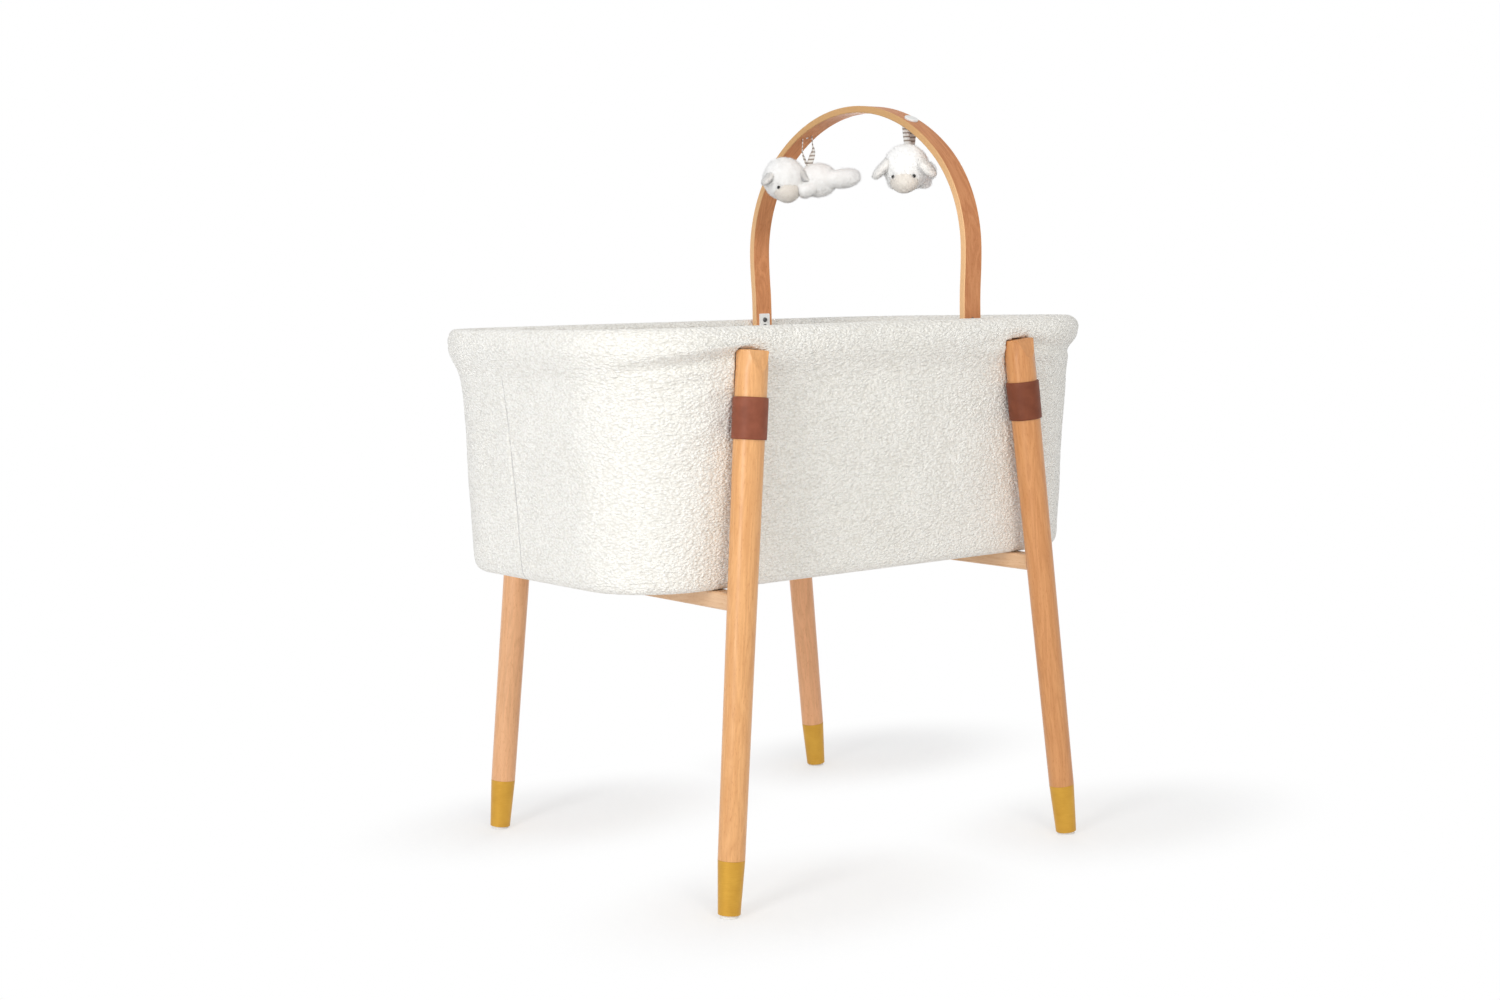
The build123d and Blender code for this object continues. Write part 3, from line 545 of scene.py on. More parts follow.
# Frame nodes that keep their shape
kept = {
    "toy_arch": arch_wood(),
    "base_board": plywood,
    "wall_panel": panel_board,
    "pivot_plates": plate_enamel,
    "pivot_bolts": dark_steel,
    "plate_screws": dark_steel,
}
for place_name, side in SIDES.items():
    leg_wood = wood(f"beech_{place_name}", leg_axis(*side)[1], *LEG_TONES_AND_PAINTED_LIGHT[place_name])
    kept[f"leg_{place_name}"] = leg_wood
for name in nodes:
    if name.startswith("crossbar"):
        kept[name] = bar_wood
    elif name.startswith("ferrule"):
        kept[name] = brass
    elif name.startswith("glide"):
        kept[name] = nylon
    elif name.endswith("_button"):
        kept[name] = button_plastic
    elif name.endswith("_eyes"):
        kept[name] = eye_bead
    elif name in ("rim_tube", "basket_bolts", "basket_washers", "tee_nuts", "pivot_inserts"):
        kept[name] = steel
for name, material in kept.items():
    nodes[name].data.materials.clear()
    nodes[name].data.materials.append(material)


# Basket


def outline(step):
    """Core points, outward normals and run at an even step round the basket's seat outline."""
    x, y, quarter = CORE_X, CORE_Y, math.pi / 2 * CORNER
    knots = np.cumsum([0, x, quarter, 2 * y, quarter, 2 * x, quarter, 2 * y, quarter, x])
    core_x = [0, x, x, x, x, -x, -x, -x, -x, 0]
    core_y = [-y, -y, -y, y, y, y, y, -y, -y, -y]
    angle = np.radians([-90, -90, 0, 0, 90, 90, 180, 180, 270, 270])
    count = int(round(knots[-1] / step))
    at = np.arange(count) * knots[-1] / count
    turn = np.interp(at, knots, angle)
    core = np.column_stack([np.interp(at, knots, core_x), np.interp(at, knots, core_y)])
    return core, np.column_stack([np.cos(turn), np.sin(turn)]), at


def swept(profile, step, columns):
    """How far out and how high each grid point of a profile swept round the basket is."""
    section = even_curve(profile, step)
    return np.repeat(section[:, :1], columns, 1), np.repeat(section[:, 1:], columns, 1)


def cup(core, normal, out, z):
    """Grid of points: rows are heights, columns go round the basket."""
    xy = core[None] + normal[None] * (CORNER + out)[:, :, None]
    return np.dstack([xy, z])


def closing_rows(rim, shares, middle_z):
    """Rows that draw an edge in to a line along the basket's middle."""
    middle_x = np.clip(rim[:, 0], -SPINE_X, SPINE_X)
    middle_z = np.broadcast_to(middle_z, len(rim))
    middle = np.column_stack([middle_x, np.zeros(len(rim)), middle_z])
    return np.array([rim * (1 - share) + middle * share for share in shares])


def grid_object(name, grid, material, flip=False):
    """A welded piece from rows of points that each close on themselves."""
    faces = ring_faces(*grid.shape[:2])
    if flip:
        faces = [face[::-1] for face in faces]
    obj = new_object(name, grid.reshape(-1, 3), faces, material)
    weld(obj)
    return obj


CLOTH_STEP = 0.0026
CUP_STEP = 0.008
SHARES = (0.25, 0.5, 0.75, 1.0)

# Section of the cloth, out and up: from its hem inside the rim, over the roll, down the wall and
# under the base
SECTION = [
    (-0.0056, 0.694),
    (-0.0060, 0.707),
    (-0.0058, 0.7185),
    (-0.0030, 0.7265),
    (0.0030, 0.7300),
    (0.0095, 0.7292),
    (0.0155, 0.7248),
    (0.0190, 0.7175),
    (0.0200, 0.7090),
    (0.0186, 0.6990),
    (0.0138, 0.6880),
    (0.0077, 0.6780),
    (0.0026, 0.6660),
    (-0.0004, 0.6500),
    (-0.0022, 0.6280),
    (-0.0048, 0.5600),
    (-0.0076, 0.4760),
    (-0.0092, 0.4280),
    (-0.0098, 0.4170),
    (-0.0118, 0.4085),
    (-0.0160, 0.4030),
    (-0.0225, 0.4004),
    (-0.0300, 0.4001),
    (-0.0450, 0.4001),
]

# Wadding: fuller in the wall towards the head end's front, thinner in wall and roll opposite. It
# sets in as the outline turns that way, and fades under the roll and towards the base
WALL_FULLER = 0.0042
WALL_THINNER = 0.0015
ROLL_THINNER = 0.26
WADDED_TURN = (0.35, 0.5)
WALL_TOP = (0.700, 0.03)
WALL_FOOT = (0.42, 0.22)

# Corner at the head end's front: where the outline turns to it, then depth, height and spread of
# the roll and of the neck under it
CORNER_TURN = (0.62, 0.3)
CORNER_ROLL = (0.0024, 0.719, 0.010)
CORNER_NECK = (0.0066, 0.683, 0.0105)

# Outer face: past the hem inside the rim, which ends at this height, and above the base
HEM_OUT = -0.006
HEM_EASE = 0.004
HEM_Z = 0.69
FACE_FOOT = (0.405, 0.02)

# Unevenness of the stretched cloth: scale, seed and depth
UNEVEN = [(9.0, 1, 0.0016), (24.0, 2, 0.0008)]
CLOTH_LIFT = 0.0006

# Drag folds from the leg tops: leg, start and end offsets in x and z, width, height
FOLDS = [
    ("front_left", -0.002, -0.003, -0.170, -0.024, 0.0092, -0.0100),
    ("front_left", -0.018, -0.036, -0.150, -0.096, 0.014, 0.0027),
    ("front_left", -0.018, -0.066, -0.125, -0.128, 0.015, 0.0018),
    ("front_left", 0.020, -0.014, 0.080, -0.026, 0.009, 0.0020),
    ("front_right", 0.006, -0.006, 0.110, -0.017, 0.0085, -0.0075),
    ("front_right", 0.020, -0.034, 0.085, -0.055, 0.009, 0.0024),
    ("front_right", -0.020, -0.014, -0.075, -0.026, 0.010, 0.0020),
    ("back_left", -0.020, -0.014, -0.120, -0.030, 0.010, 0.0028),
    ("back_left", 0.020, -0.014, 0.080, -0.034, 0.010, 0.0022),
    ("back_right", 0.020, -0.012, 0.100, -0.030, 0.010, 0.0028),
    ("back_right", -0.020, -0.014, -0.090, -0.040, 0.010, 0.0022),
]
FOLD_HEIGHTS = (0.42, 0.708)
FOLD_FACING = 0.6

# A fold fades in round its start and out towards its end, in shares of its run
FOLD_IN = (-0.072, 0.12)
FOLD_OUT = (1.15, 0.8)

# Trough beside a fold: its share of the fold's height, and its distance in widths
TROUGH = 0.55
TROUGH_OFF = 1.7

# Sewn seam: depth and width of its line, height, distance and width of the soft edges beside it
SEAM_LINE = (0.0019, 0.0024)
SEAM_EDGE = (0.0007, 0.0070, 0.004)
SEAM_LOW_Z = 0.402
SEAM_FADE = 0.02
SEAM_FACING = 0.99

# Yarn loops: size, height, and the share of their height that lies at the cloth's level
LOOP_SIZE = 0.0060
LOOP_HEIGHT = 0.0013
LOOP_LEVEL = 0.55

# Where the cloth passes behind a leg: the room left round it and above its top, how far up the leg
# this starts, and how squarely the cloth faces it
LEG_GAP = 0.0007
LEG_TOP_GAP = 0.0008
LEG_FROM = 0.3
LEG_FACING = 0.9

UNDERSIDE_Z = BASE_Z + 0.0002


def wadded(out, height, toward):
    """The section made fuller and thinner round the basket, with the head end's front corner."""
    full = ramp_up(toward, *WADDED_TURN)
    thin = ramp_up(-toward, *WADDED_TURN)
    wall = ramp_down(height, *WALL_TOP) * ramp_up(height, *WALL_FOOT)
    thinner = thin * (WALL_THINNER * wall + ROLL_THINNER * np.maximum(out, 0))
    out = out + (WALL_FULLER * full * wall - thinner)

    corner = ramp_up(toward, *CORNER_TURN) * (out > 0)
    for sign, (depth, middle, spread) in ((1, CORNER_ROLL), (-1, CORNER_NECK)):
        out = out + sign * corner * depth * bell(height - middle, spread)
    return out


def fold(height, wall_x, normal, place_name, x0, z0, x1, z1, width, rise):
    """One drag fold: a crest or groove that fades along its run, with its trough beside it."""
    side_x, side_y = SIDES[place_name]
    run = np.array([x1 - x0, z1 - z0])
    rel_x = wall_x - (side_x * LEG_TOP[0] + x0)
    rel_z = height - (LEG_TOP[2] + z0)
    t = (rel_x * run[0] + rel_z * run[1]) / (run @ run)
    off = (rel_x * run[1] - rel_z * run[0]) / np.linalg.norm(run)
    fade = ramp_up(t, *FOLD_IN) * ramp_down(t, *FOLD_OUT)
    crest = bell(off, width) - TROUGH * bell(off - TROUGH_OFF * width, width)
    low, high = FOLD_HEIGHTS
    on_side = (normal[:, 1] * side_y > FOLD_FACING) & (height < high) & (height > low)
    return np.where(on_side, rise * fade * crest, 0)


def seam(height, wall_y, normal, end):
    """The seam up one end: a pulled-in line between soft edges."""
    line_depth, line_width = SEAM_LINE
    edge_height, edge_off, edge_width = SEAM_EDGE
    off = np.abs(wall_y + end * (SEAM_Y + SEAM_SLANT * (height - SEAM_TOP_Z)))
    dip = edge_height * bell(off - edge_off, edge_width) - line_depth * bell(off, line_width)
    on_end = (normal[:, 0] * end > SEAM_FACING) & (height > SEAM_LOW_Z)
    return np.where(on_end, dip * ramp_down(height, SEAM_TOP_Z - SEAM_FADE, SEAM_FADE), 0)


def behind_leg(points, normal, out, side):
    """Out, held back so that each point passes behind a leg."""
    foot, up, length = leg_axis(*side)
    foot, up = np.array(foot), np.array(up)
    level_normal = np.broadcast_to(normal[None], (*out.shape, 2))
    level_normal = np.dstack([level_normal, np.zeros(out.shape)])
    rel = points - foot
    distance = rel @ up
    perp = rel - distance[:, :, None] * up
    slope = level_normal - (level_normal @ up)[:, :, None] * up
    radius = leg_radius(distance, length) + LEG_GAP
    a = (slope**2).sum(2)
    b = (perp * slope).sum(2)
    c = (perp**2).sum(2) - radius**2
    inside = b**2 - a * c
    facing = level_normal[:, :, 1] * side[1] > LEG_FACING
    on_leg = (distance > LEG_FROM) & (distance < length + LEG_TOP_GAP)
    near = (inside > 0) & facing & on_leg
    root = (-b - np.sqrt(np.maximum(inside, 0))) / a
    return np.where(near, np.minimum(out, out + root), out)


def make_cover():
    """Outer cloth in one sheet, with the roll over the rim."""
    core, normal, along = outline(CLOTH_STEP)
    out, height = swept(SECTION, CLOTH_STEP, len(core))
    wall_x, wall_y = (core + normal * CORNER).T
    out = wadded(out, height, normal @ HEAD_FRONT[:2])

    # What follows shapes the outer face only, not the hem inside the rim or the base
    past_hem = smoothstep((out - HEM_OUT) / HEM_EASE + (height < HEM_Z))
    outer = ramp_up(height, *FACE_FOOT) * past_hem
    points = cup(core, normal, out, height)
    slow = sum(lumps(points, scale, seed) * depth for scale, seed, depth in UNEVEN)
    out = out + outer * (slow + CLOTH_LIFT)
    for row in FOLDS:
        out = out + outer * fold(height, wall_x, normal, *row)
    for end in (-1, 1):
        out = out + outer * seam(height, wall_y, normal, end)
    around = along[-1] + along[1]
    loop_count = round(around / LOOP_SIZE)
    down = np.arange(len(out)) * CLOTH_STEP
    loops = yarn_loops(along[None], down[:, None], around / loop_count, loop_count, seed=3.0)
    out = out + outer * LOOP_HEIGHT * (loops - LOOP_LEVEL)

    # Behind the leg tops the cloth is pressed in, and the roll sits over their ends
    for side in SIDES.values():
        out = behind_leg(cup(core, normal, out, height), normal, out, side)
    points = cup(core, normal, out, height)

    underside = closing_rows(points[-1], SHARES, UNDERSIDE_Z)
    cover = grid_object("basket_cover", np.concatenate([points, underside]), boucle_cloth)
    place(cover, "bassinet", "boucle", "outer_cover", "rim_roll")


# Lining, out and up: sewn to the cloth's hem, down the wall, round its foot and over the board
LINING = [
    (-0.0059, 0.7035),
    (-0.0064, 0.6980),
    (-0.0066, 0.6850),
    (-0.0110, 0.5600),
    (-0.0150, 0.4400),
    (-0.0164, 0.4240),
    (-0.0210, 0.4155),
    (-0.0320, 0.4133),
    (-0.0600, 0.4132),
]
LINING_STEP = 0.006
SLACK_DEPTH = 0.0012
SLACK_TOP = (0.690, 0.04)
SLACK_FOOT = (0.43, 0.04)


def make_lining():
    """Inner lining: a smooth cup with a rounded foot, a little slack on the wall."""
    core, normal, _ = outline(CUP_STEP)
    out, height = swept(LINING, LINING_STEP, len(core))
    slack = SLACK_DEPTH * ramp_down(height, *SLACK_TOP) * ramp_up(height, *SLACK_FOOT)
    out = out + slack * lumps(cup(core, normal, out, height), scale=14.0, seed=5)
    points = cup(core, normal, out, height)
    floor_rows = closing_rows(points[-1], SHARES, points[-1, :, 2])
    grid = np.concatenate([points, floor_rows])
    lining = grid_object("basket_lining", grid, lining_cloth, flip=True)
    place(lining, "bassinet", "lining_cotton", "inner_lining")


# Mattress, out and up: base edge with a sewn welt, drawn-in side, upper welt, crowned top
PAD = [
    (-0.0952, 0.4139),
    (-0.0352, 0.4139),
    (-0.0267, 0.4155),
    (-0.0239, 0.4200),
    (-0.0234, 0.4225),
    (-0.0249, 0.4245),
    (-0.0257, 0.4400),
    (-0.0249, 0.4560),
    (-0.0236, 0.4580),
    (-0.0242, 0.4605),
    (-0.0279, 0.4630),
    (-0.0384, 0.4655),
    (-0.0652, 0.4682),
    (-0.1052, 0.4692),
]
PAD_STEP = 0.0022
PAD_WAVE = 0.0009
PAD_WAVE_FOOT = (0.424, 0.02)
PAD_CROWN = 0.0006
PAD_TOP_SHARES = np.array([0.2, 0.4, 0.6, 0.8, 1.0])


def make_mattress():
    """Crowned pad with a sewn welt round both edges."""
    core, normal, _ = outline(CUP_STEP)
    out, height = swept(PAD, PAD_STEP, len(core))
    points = cup(core, normal, out, height)
    wave = 1 + lumps(points, scale=16.0, seed=7)
    points[:, :, 2] -= PAD_WAVE * ramp_up(height, *PAD_WAVE_FOOT) * wave
    under = closing_rows(points[0], SHARES[::-1], points[0, :, 2])
    upper = closing_rows(points[-1], PAD_TOP_SHARES, points[-1, :, 2])
    upper[:, :, 2] += PAD_CROWN * np.sin(PAD_TOP_SHARES * math.pi / 2)[:, None]
    grid = np.concatenate([under, points, upper])
    pad = grid_object("mattress_pad", grid, mattress_cloth, flip=True)
    place(pad, "mattress_body", "mattress_cotton", "mattress")


# Leather band: how far its skin stands off the wood, and how high, with eased edges
BAND_SECTION = [
    (0.0002, 0.0006),
    (0.0012, 0.0000),
    (0.0020, 0.0004),
    (0.0023, 0.0016),
    (0.0024, 0.0060),
    (0.0024, BAND_HEIGHT / 2),
    (0.0024, BAND_HEIGHT - 0.0060),
    (0.0023, BAND_HEIGHT - 0.0016),
    (0.0020, BAND_HEIGHT - 0.0004),
    (0.0012, BAND_HEIGHT),
    (0.0002, BAND_HEIGHT - 0.0006),
]
BAND_TURNS = 96

# Lapped end: its height, its angle and ease, and how far off the wood the lapped skin starts
LAP_HEIGHT = 0.0009
LAP_ANGLE = 0.35
LAP_EASE = 0.05
LAP_FROM = 0.001


def make_band(place_name, side):
    """Leather round a leg, with a lapped end on the basket's side."""
    foot, up, length = leg_axis(*side)
    inward = Vector((0, -side[1], 0))
    inward = (inward - up * inward.dot(up)).normalized()
    across = up.cross(inward)
    points = []
    for stand_off, rise in BAND_SECTION:
        distance = BAND_LOW + rise
        for c in range(BAND_TURNS):
            a = 2 * math.pi * c / BAND_TURNS
            lap = LAP_HEIGHT * float(ramp_down(a, LAP_ANGLE, LAP_EASE)) * (stand_off > LAP_FROM)
            radius = leg_radius(distance, length) + stand_off + lap
            spoke = inward * (radius * math.cos(a)) + across * (radius * math.sin(a))
            points.append(foot + up * distance + spoke)
    faces = ring_faces(len(BAND_SECTION), BAND_TURNS)
    band = new_object(f"band_{place_name}", points, faces, hide if side[0] < 0 else dark_hide)
    place(band, "bassinet", "leather", f"leather_band_{place_name}")


make_cover()
make_lining()
make_mattress()
for place_name, side in SIDES.items():
    make_band(place_name, side)


# Plush lambs

# Dimple sewn in round an eye: its spread and depth
DIMPLE_SPREAD = 0.0042
DIMPLE_DEPTH = 0.0016

# Tufts of the wool: share, scale and seed
TUFTS = [(0.6, 110.0, 11), (0.4, 260.0, 12)]

# Fibre of the pile: half width, how deep its root is set, how much it hangs, range of its length,
# and how far it rises and leans for its length
FIBRE_HALF_WIDTH = 0.00016
FIBRE_ROOT = 0.0004
FIBRE_HANG = 0.5
FIBRE_SIZES = (0.6, 1.2)
FIBRE_RISE = 0.7
FIBRE_LEAN = 0.6


def soft_copy(name, sources, material, eyes, voxel, rounds, swell, tufts):
    """One smooth closed form over frame pieces, swollen, tufted and sewn in round the eyes."""
    bm = bmesh.new()
    for source in sources:
        bm.from_mesh(nodes[source].data)
    mesh = bpy.data.meshes.new(name)
    bm.to_mesh(mesh)
    bm.free()
    obj = bpy.data.objects.new(name, mesh)
    bpy.context.scene.collection.objects.link(obj)
    remesh = obj.modifiers.new("remesh", "REMESH")
    remesh.mode = "VOXEL"
    remesh.voxel_size = voxel
    relax = obj.modifiers.new("relax", "SMOOTH")
    relax.factor = 0.5
    relax.iterations = rounds
    evaluated = obj.evaluated_get(bpy.context.evaluated_depsgraph_get())
    made = bpy.data.meshes.new_from_object(evaluated)
    obj.modifiers.clear()
    obj.data = made
    made.name = name
    made.materials.clear()
    made.materials.append(material)
    made.polygons.foreach_set("use_smooth", [True] * len(made.polygons))

    points = mesh_points(obj)
    normals = np.array([v.normal for v in made.vertices])
    grow = swell + tufts * sum(share * lumps(points, *tuft) for share, *tuft in TUFTS)
    for eye in eyes:
        near = bell(np.linalg.norm(points - eye, axis=1), DIMPLE_SPREAD)
        grow = grow * (1 - near) - DIMPLE_DEPTH * near
    move_points(obj, points + normals * grow[:, None])
    return obj


def tuck(obj, neighbour, keep):
    """Draw a piece in towards the end that is sewn to its neighbour."""
    points = mesh_points(obj)
    away = np.linalg.norm(points - mesh_points(neighbour).mean(0), axis=1)
    root = points[np.argsort(away)[: len(points) // 10]].mean(0)
    move_points(obj, root + (points - root) * keep)


def pile(name, skin, material, bare, count, length, seed):
    """Short fine fibres leaning on a skin, but for the bare places."""
    rng = np.random.default_rng(seed)
    skin.data.calc_loop_triangles()
    points = mesh_points(skin)
    tri = np.array([t.vertices for t in skin.data.loop_triangles])
    a, b, c = points[tri[:, 0]], points[tri[:, 1]], points[tri[:, 2]]
    face = np.cross(b - a, c - a)
    area = np.linalg.norm(face, axis=1)
    pick = rng.choice(len(tri), count, p=area / area.sum())
    u, v = rng.random(count), rng.random(count)
    past = u + v > 1
    u[past], v[past] = 1 - u[past], 1 - v[past]
    root = a[pick] + (b - a)[pick] * u[:, None] + (c - a)[pick] * v[:, None]
    up = face[pick] / area[pick][:, None]
    lean = rng.normal(size=(count, 3))
    lean[:, 2] -= FIBRE_HANG
    lean -= up * (lean * up).sum(1)[:, None]
    lean /= np.linalg.norm(lean, axis=1)[:, None]
    size = length * rng.uniform(*FIBRE_SIZES, count)
    keep = np.ones(count, bool)
    for centre, radius in bare:
        keep &= np.linalg.norm(root - centre, axis=1) > radius
    root, up, lean, size = root[keep], up[keep], lean[keep], size[keep][:, None]
    aside = np.cross(up, lean) * FIBRE_HALF_WIDTH
    foot = root - up * FIBRE_ROOT
    tip = root + up * (FIBRE_RISE * size) + lean * (FIBRE_LEAN * size)
    verts = np.stack([foot + lean * FIBRE_HALF_WIDTH, foot - aside, foot + aside, tip], 1)
    first = np.arange(len(root))[:, None] * 4
    corners = ((0, 1, 2), (1, 0, 3), (2, 1, 3), (0, 2, 3))
    faces = np.concatenate([first + corner for corner in corners]).tolist()
    return new_object(name, verts.reshape(-1, 3), faces, material)


# Each lamb: its side of the arch, where its body points, how far each ribbon strand turns on its
# way down, and how far the strands stand apart sideways under the arch
LAMBS = {
    "back_lamb": {"side": 1, "angle": 143.0, "twist": {-1: 1.15, 1: 0.4}, "splay": 0.0},
    "front_lamb": {"side": -1, "angle": 220.0, "twist": {-1: 0.2, 1: 0.2}, "splay": 0.0042},
}
WOOLLY = ("head", "body", "left_arm", "right_arm", "left_leg", "right_leg")
TUCKED_EAR = "back_lamb_right_ear"


def sewn_eyes(lamb):
    """Middles of the eyes that show. The wool covers the back lamb's eye on the other side."""
    eyes = mesh_points(nodes[f"{lamb}_eyes"])
    middle = eyes.mean(0)
    spread = eyes - middle
    axis = np.linalg.svd(spread, full_matrices=False)[2][0]
    both = [eyes[(spread @ axis) * way > 0].mean(0) for way in (-1, 1)]
    if lamb == "front_lamb":
        return both
    return [eye for eye in both if (eye - middle) @ HEAD_FRONT < 0]


def make_lamb(lamb, seed):
    """A lamb in soft pieces: its wool with a coat, its muzzle and its two ears, each with a nap."""
    eyes = sewn_eyes(lamb)
    muzzle = mesh_points(nodes[f"{lamb}_face"]).mean(0)

    woolly = [f"{lamb}_{part}" for part in WOOLLY]
    body = soft_copy(
        f"{lamb}_wool",
        woolly,
        white_fleece,
        eyes,
        voxel=0.0018,
        rounds=6,
        swell=0.0006,
        tufts=0.0011,
    )
    place(body, lamb, "white_plush", *woolly)
    bare = [(eye, 0.0055) for eye in eyes] + [(muzzle, 0.012)]
    coat = pile(
        f"{lamb}_coat", body, white_fleece, bare, count=12000, length=0.0030, seed=20 + seed
    )
    place(coat, lamb, "white_plush")

    face_node = f"{lamb}_face"
    face = soft_copy(
        f"{lamb}_muzzle",
        [face_node],
        beige_fleece,
        eyes,
        voxel=0.0014,
        rounds=5,
        swell=0.0006,
        tufts=0.0004,
    )
    place(face, lamb, "beige_plush", face_node)
    bare = [(eye, 0.005) for eye in eyes]
    nap = pile(
        f"{lamb}_muzzle_nap", face, beige_fleece, bare, count=4000, length=0.0020, seed=30 + seed
    )
    place(nap, lamb, "beige_plush")

    for ear_node in (f"{lamb}_left_ear", f"{lamb}_right_ear"):
        ear = soft_copy(
            f"{ear_node}_soft",
            [ear_node],
            ear_fleece,
            [],
            voxel=0.0012,
            rounds=5,
            swell=0.0020,
            tufts=0.0006,
        )
        if ear_node == TUCKED_EAR:
            tuck(ear, nodes[f"{lamb}_head"], keep=0.70)
        place(ear, lamb, "beige_plush", ear_node)
        ear_nap = pile(
            f"{ear_node}_nap", ear, white_fleece, [], count=3000, length=0.0026, seed=40 + seed
        )
        place(ear_nap, lamb, "white_plush")


# Ribbon: where it hangs on the arch, its size and stripes, and the line of a strand, ahead and down
HANG_Y = 0.114
HANG_Z = arch_roof(HANG_Y)
RIBBON_DROP = 0.041
RIBBON_HALF_WIDTH = 0.005
RIBBON_THICKNESS = 0.0007
RIBBON_CROWN = 0.0004
RIBBON_GAP = 0.0004
STRIPE = 0.0054
FIRST_STRIPE = 8
STRAND = [(0.0068, 0.0), (0.0074, -0.010), (0.0078, -0.020), (0.0050, -0.031), (0.0010, -0.041)]
STRAND_STEP = 0.0016
STRAND_COLUMNS = 5
STRAND_TURN = (0.25, 0.5)


def make_ribbon(lamb, side, angle, twist, splay):
    """Two strands from the underside of the arch to the lamb's neck."""
    ahead, left = level(angle), level(angle + 90)
    hang = np.array([ARCH_X, side * HANG_Y, HANG_Z])
    neck = np.array([ARCH_X, side * HANG_Y, HANG_Z - RIBBON_DROP])
    points, faces, uvs = [], [], []
    for way in (-1, 1):
        path = even_curve([(fore * way, drop) for fore, drop in STRAND], STRAND_STEP)
        run = run_length(path)
        first = len(points)
        for (fore, _), share in zip(path, run / run[-1]):
            turn = way * twist[way] * ramp_up(share, *STRAND_TURN)
            across = left * math.cos(turn) + ahead * math.sin(turn)
            aside = left * (-way * splay * (1 - share))
            for k in range(STRAND_COLUMNS):
                u = k / (STRAND_COLUMNS - 1)
                w = 2 * u - 1
                p = hang + ahead * fore + aside + across * (RIBBON_HALF_WIDTH * w)
                p[2] = (arch_roof(p[1]) - RIBBON_GAP) * (1 - share) + neck[2] * share
                p += ahead * RIBBON_CROWN * math.cos(math.pi * w)
                points.append(p)
                uvs.append((u, (HANG_Z - p[2]) / STRIPE + FIRST_STRIPE))
        for i in range(len(path) - 1):
            for k in range(STRAND_COLUMNS - 1):
                q = first + i * STRAND_COLUMNS + k
                faces.append((q, q + 1, q + STRAND_COLUMNS + 1, q + STRAND_COLUMNS))
    ribbon = new_object(f"{lamb}_strap", points, faces, ribbon_weave)
    layer = ribbon.data.uv_layers.new(name="along")
    for loop in ribbon.data.loops:
        layer.data[loop.index].uv = uvs[loop.vertex_index]
    solid = ribbon.modifiers.new("thickness", "SOLIDIFY")
    solid.thickness = RIBBON_THICKNESS
    solid.offset = 0
    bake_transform(ribbon)
    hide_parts(f"{lamb}_ribbon")


for seed, (lamb, hung) in enumerate(LAMBS.items()):
    make_lamb(lamb, seed)
    make_ribbon(lamb, **hung)


# Floor, light and camera

# Where the shadows stay round a foot: how far ahead of it, how far they reach, how deep they are
SHADE_AHEAD = 0.12
SHADE_REACH = (0.42, 0.26)
SHADE_DEPTH = 0.50
SHADE_FADE = (0.15, 1.0)
FLOOR_REACH = 14.0
FLOOR_Z = -0.0004


def make_floor():
    """A floor that is seen white, with the shadows kept round the feet."""
    material = bpy.data.materials.new("floor")
    material.use_nodes = True
    material.node_tree.nodes.clear()
    s = Nodes(material.node_tree)
    spot = s.node("ShaderNodeTexCoord").outputs["Object"]
    shade = 0.0
    for side_x, side_y in SIDES.values():
        middle = (side_x * FOOT[0] + SHADE_AHEAD, side_y * FOOT[1], 0)
        offset = s.vector("SUBTRACT", spot, middle)
        far = s.vector("LENGTH", s.vector("DIVIDE", offset, (*SHADE_REACH, 1)))
        fade = s.map_range(far, SHADE_FADE, (SHADE_DEPTH, 0.0), "SMOOTHERSTEP")
        shade = s.math("MAXIMUM", shade, fade)
    white = s.math("MULTIPLY", s.math("SUBTRACT", 1.0, shade), s.rays("Camera", "Glossy"))
    matt = s.feed(s.node("ShaderNodeBsdfDiffuse"), (0.92, 0.92, 0.92, 1)).outputs[0]
    glow = s.feed(s.node("ShaderNodeEmission"), (1, 1, 1, 1)).outputs[0]
    s.output("ShaderNodeOutputMaterial", white, matt, glow)
    ways = ((-1, -1), (1, -1), (1, 1), (-1, 1))
    points = [(x * FLOOR_REACH, y * FLOOR_REACH, FLOOR_Z) for x, y in ways]
    new_object("floor", points, [(0, 1, 2, 3)], material)


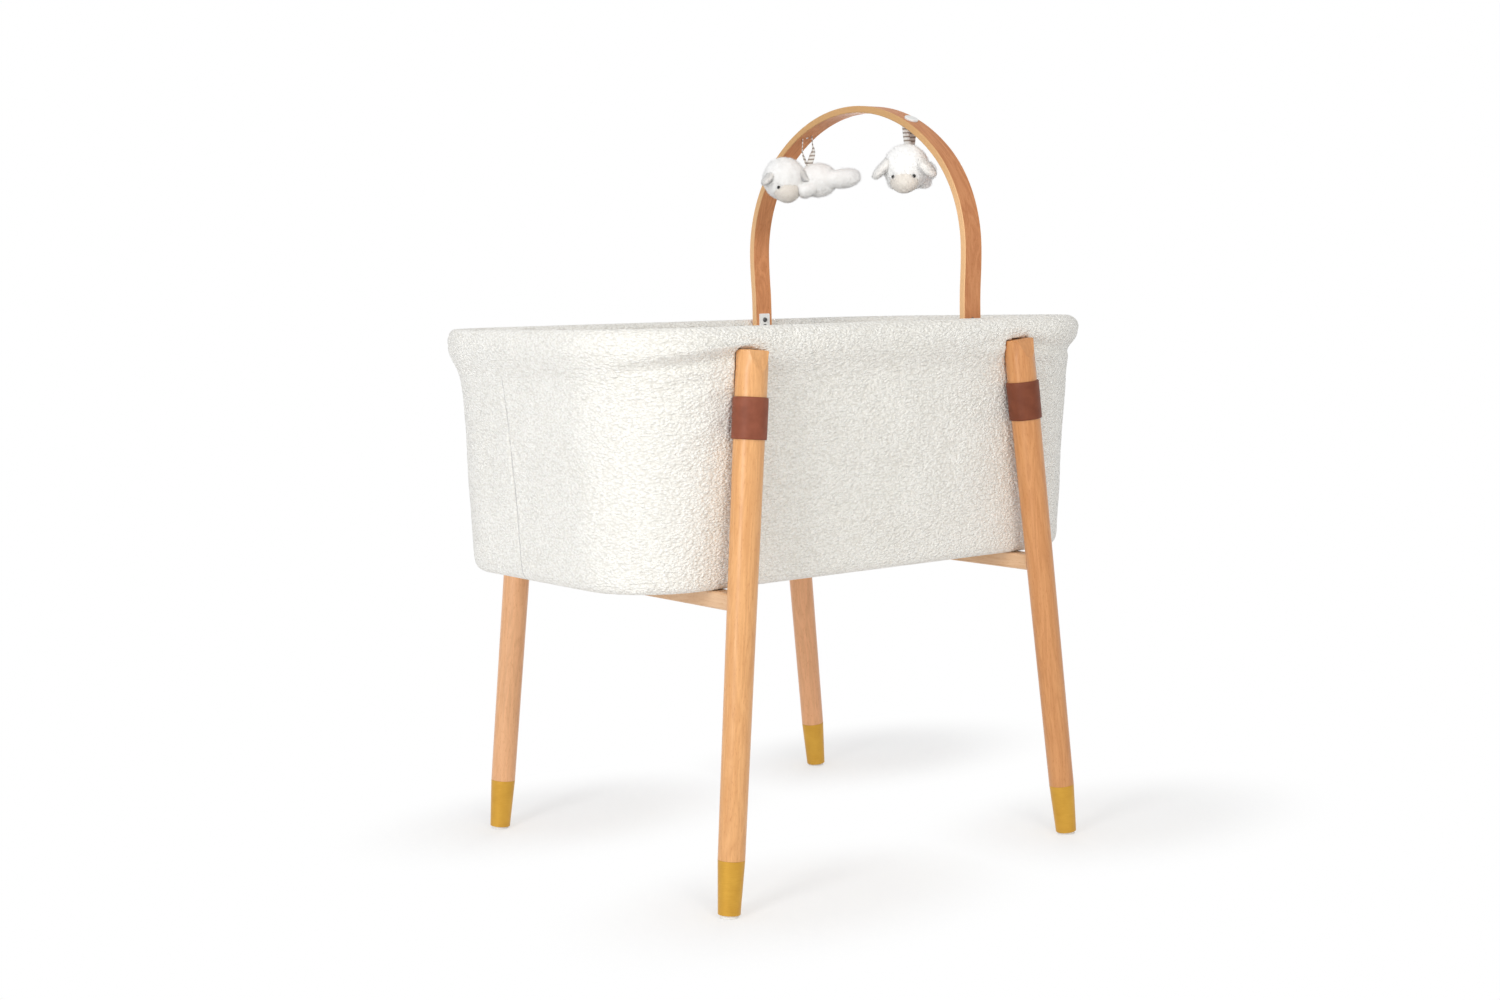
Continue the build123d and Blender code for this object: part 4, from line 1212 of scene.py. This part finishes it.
def make_world():
    """Soft light from all round, and a white backdrop."""
    world = bpy.data.worlds.new("studio")
    bpy.context.scene.world = world
    world.use_nodes = True
    world.node_tree.nodes.clear()
    s = Nodes(world.node_tree)
    seen = s.rays("Camera", "Glossy", "Transmission")
    ambient = s.feed(s.node("ShaderNodeBackground"), (0.97, 0.98, 1.0, 1), 0.62).outputs[0]
    backdrop = s.feed(s.node("ShaderNodeBackground"), (1, 1, 1, 1), 1.0).outputs[0]
    s.output("ShaderNodeOutputWorld", seen, ambient, backdrop)


AIM = Vector((0.0, 0.0, 0.6))


def softbox(name, spot, size, power, colour=WHITE):
    """A rectangular lamp aimed at the basket."""
    data = bpy.data.lights.new(name, "AREA")
    data.shape = "RECTANGLE"
    data.size, data.size_y = size
    data.energy = power
    data.color = colour
    lamp = bpy.data.objects.new(name, data)
    lamp.location = spot
    lamp.rotation_mode = "QUATERNION"
    lamp.rotation_quaternion = (AIM - Vector(spot)).to_track_quat("-Z", "Y")
    bpy.context.scene.collection.objects.link(lamp)


def make_camera():
    """The photographed view: the camera's own axes and place."""
    lens = bpy.data.cameras.new("camera")
    lens.sensor_width = 36.0
    lens.lens = 48.48
    lens.clip_end = 100.0
    right = (0.79814612, -0.60207709, -0.02158561)
    upward = (0.07796972, 0.06770064, 0.99465438)
    back = (-0.59739726, -0.79556257, 0.10097879)
    spot = (-1.7356644, -2.2600107, 0.7680702)
    camera = bpy.data.objects.new("camera", lens)
    turned = Matrix((right, upward, back)).transposed().to_4x4()
    camera.matrix_world = Matrix.Translation(spot) @ turned
    bpy.context.scene.collection.objects.link(camera)
    bpy.context.scene.camera = camera


make_floor()
make_world()
softbox("key", (-3.1, -1.15, 1.5), (0.9, 2.2), 43.0, (0.98, 0.99, 1.0))
softbox("second", (-0.82, -2.85, 2.3), (1.0, 1.0), 27.0, (1.0, 0.965, 0.88))
softbox("fill", (2.5, 2.3, 0.9), (1.4, 1.4), 26.0)
make_camera()

bpy.context.scene.view_settings.view_transform = "Standard"
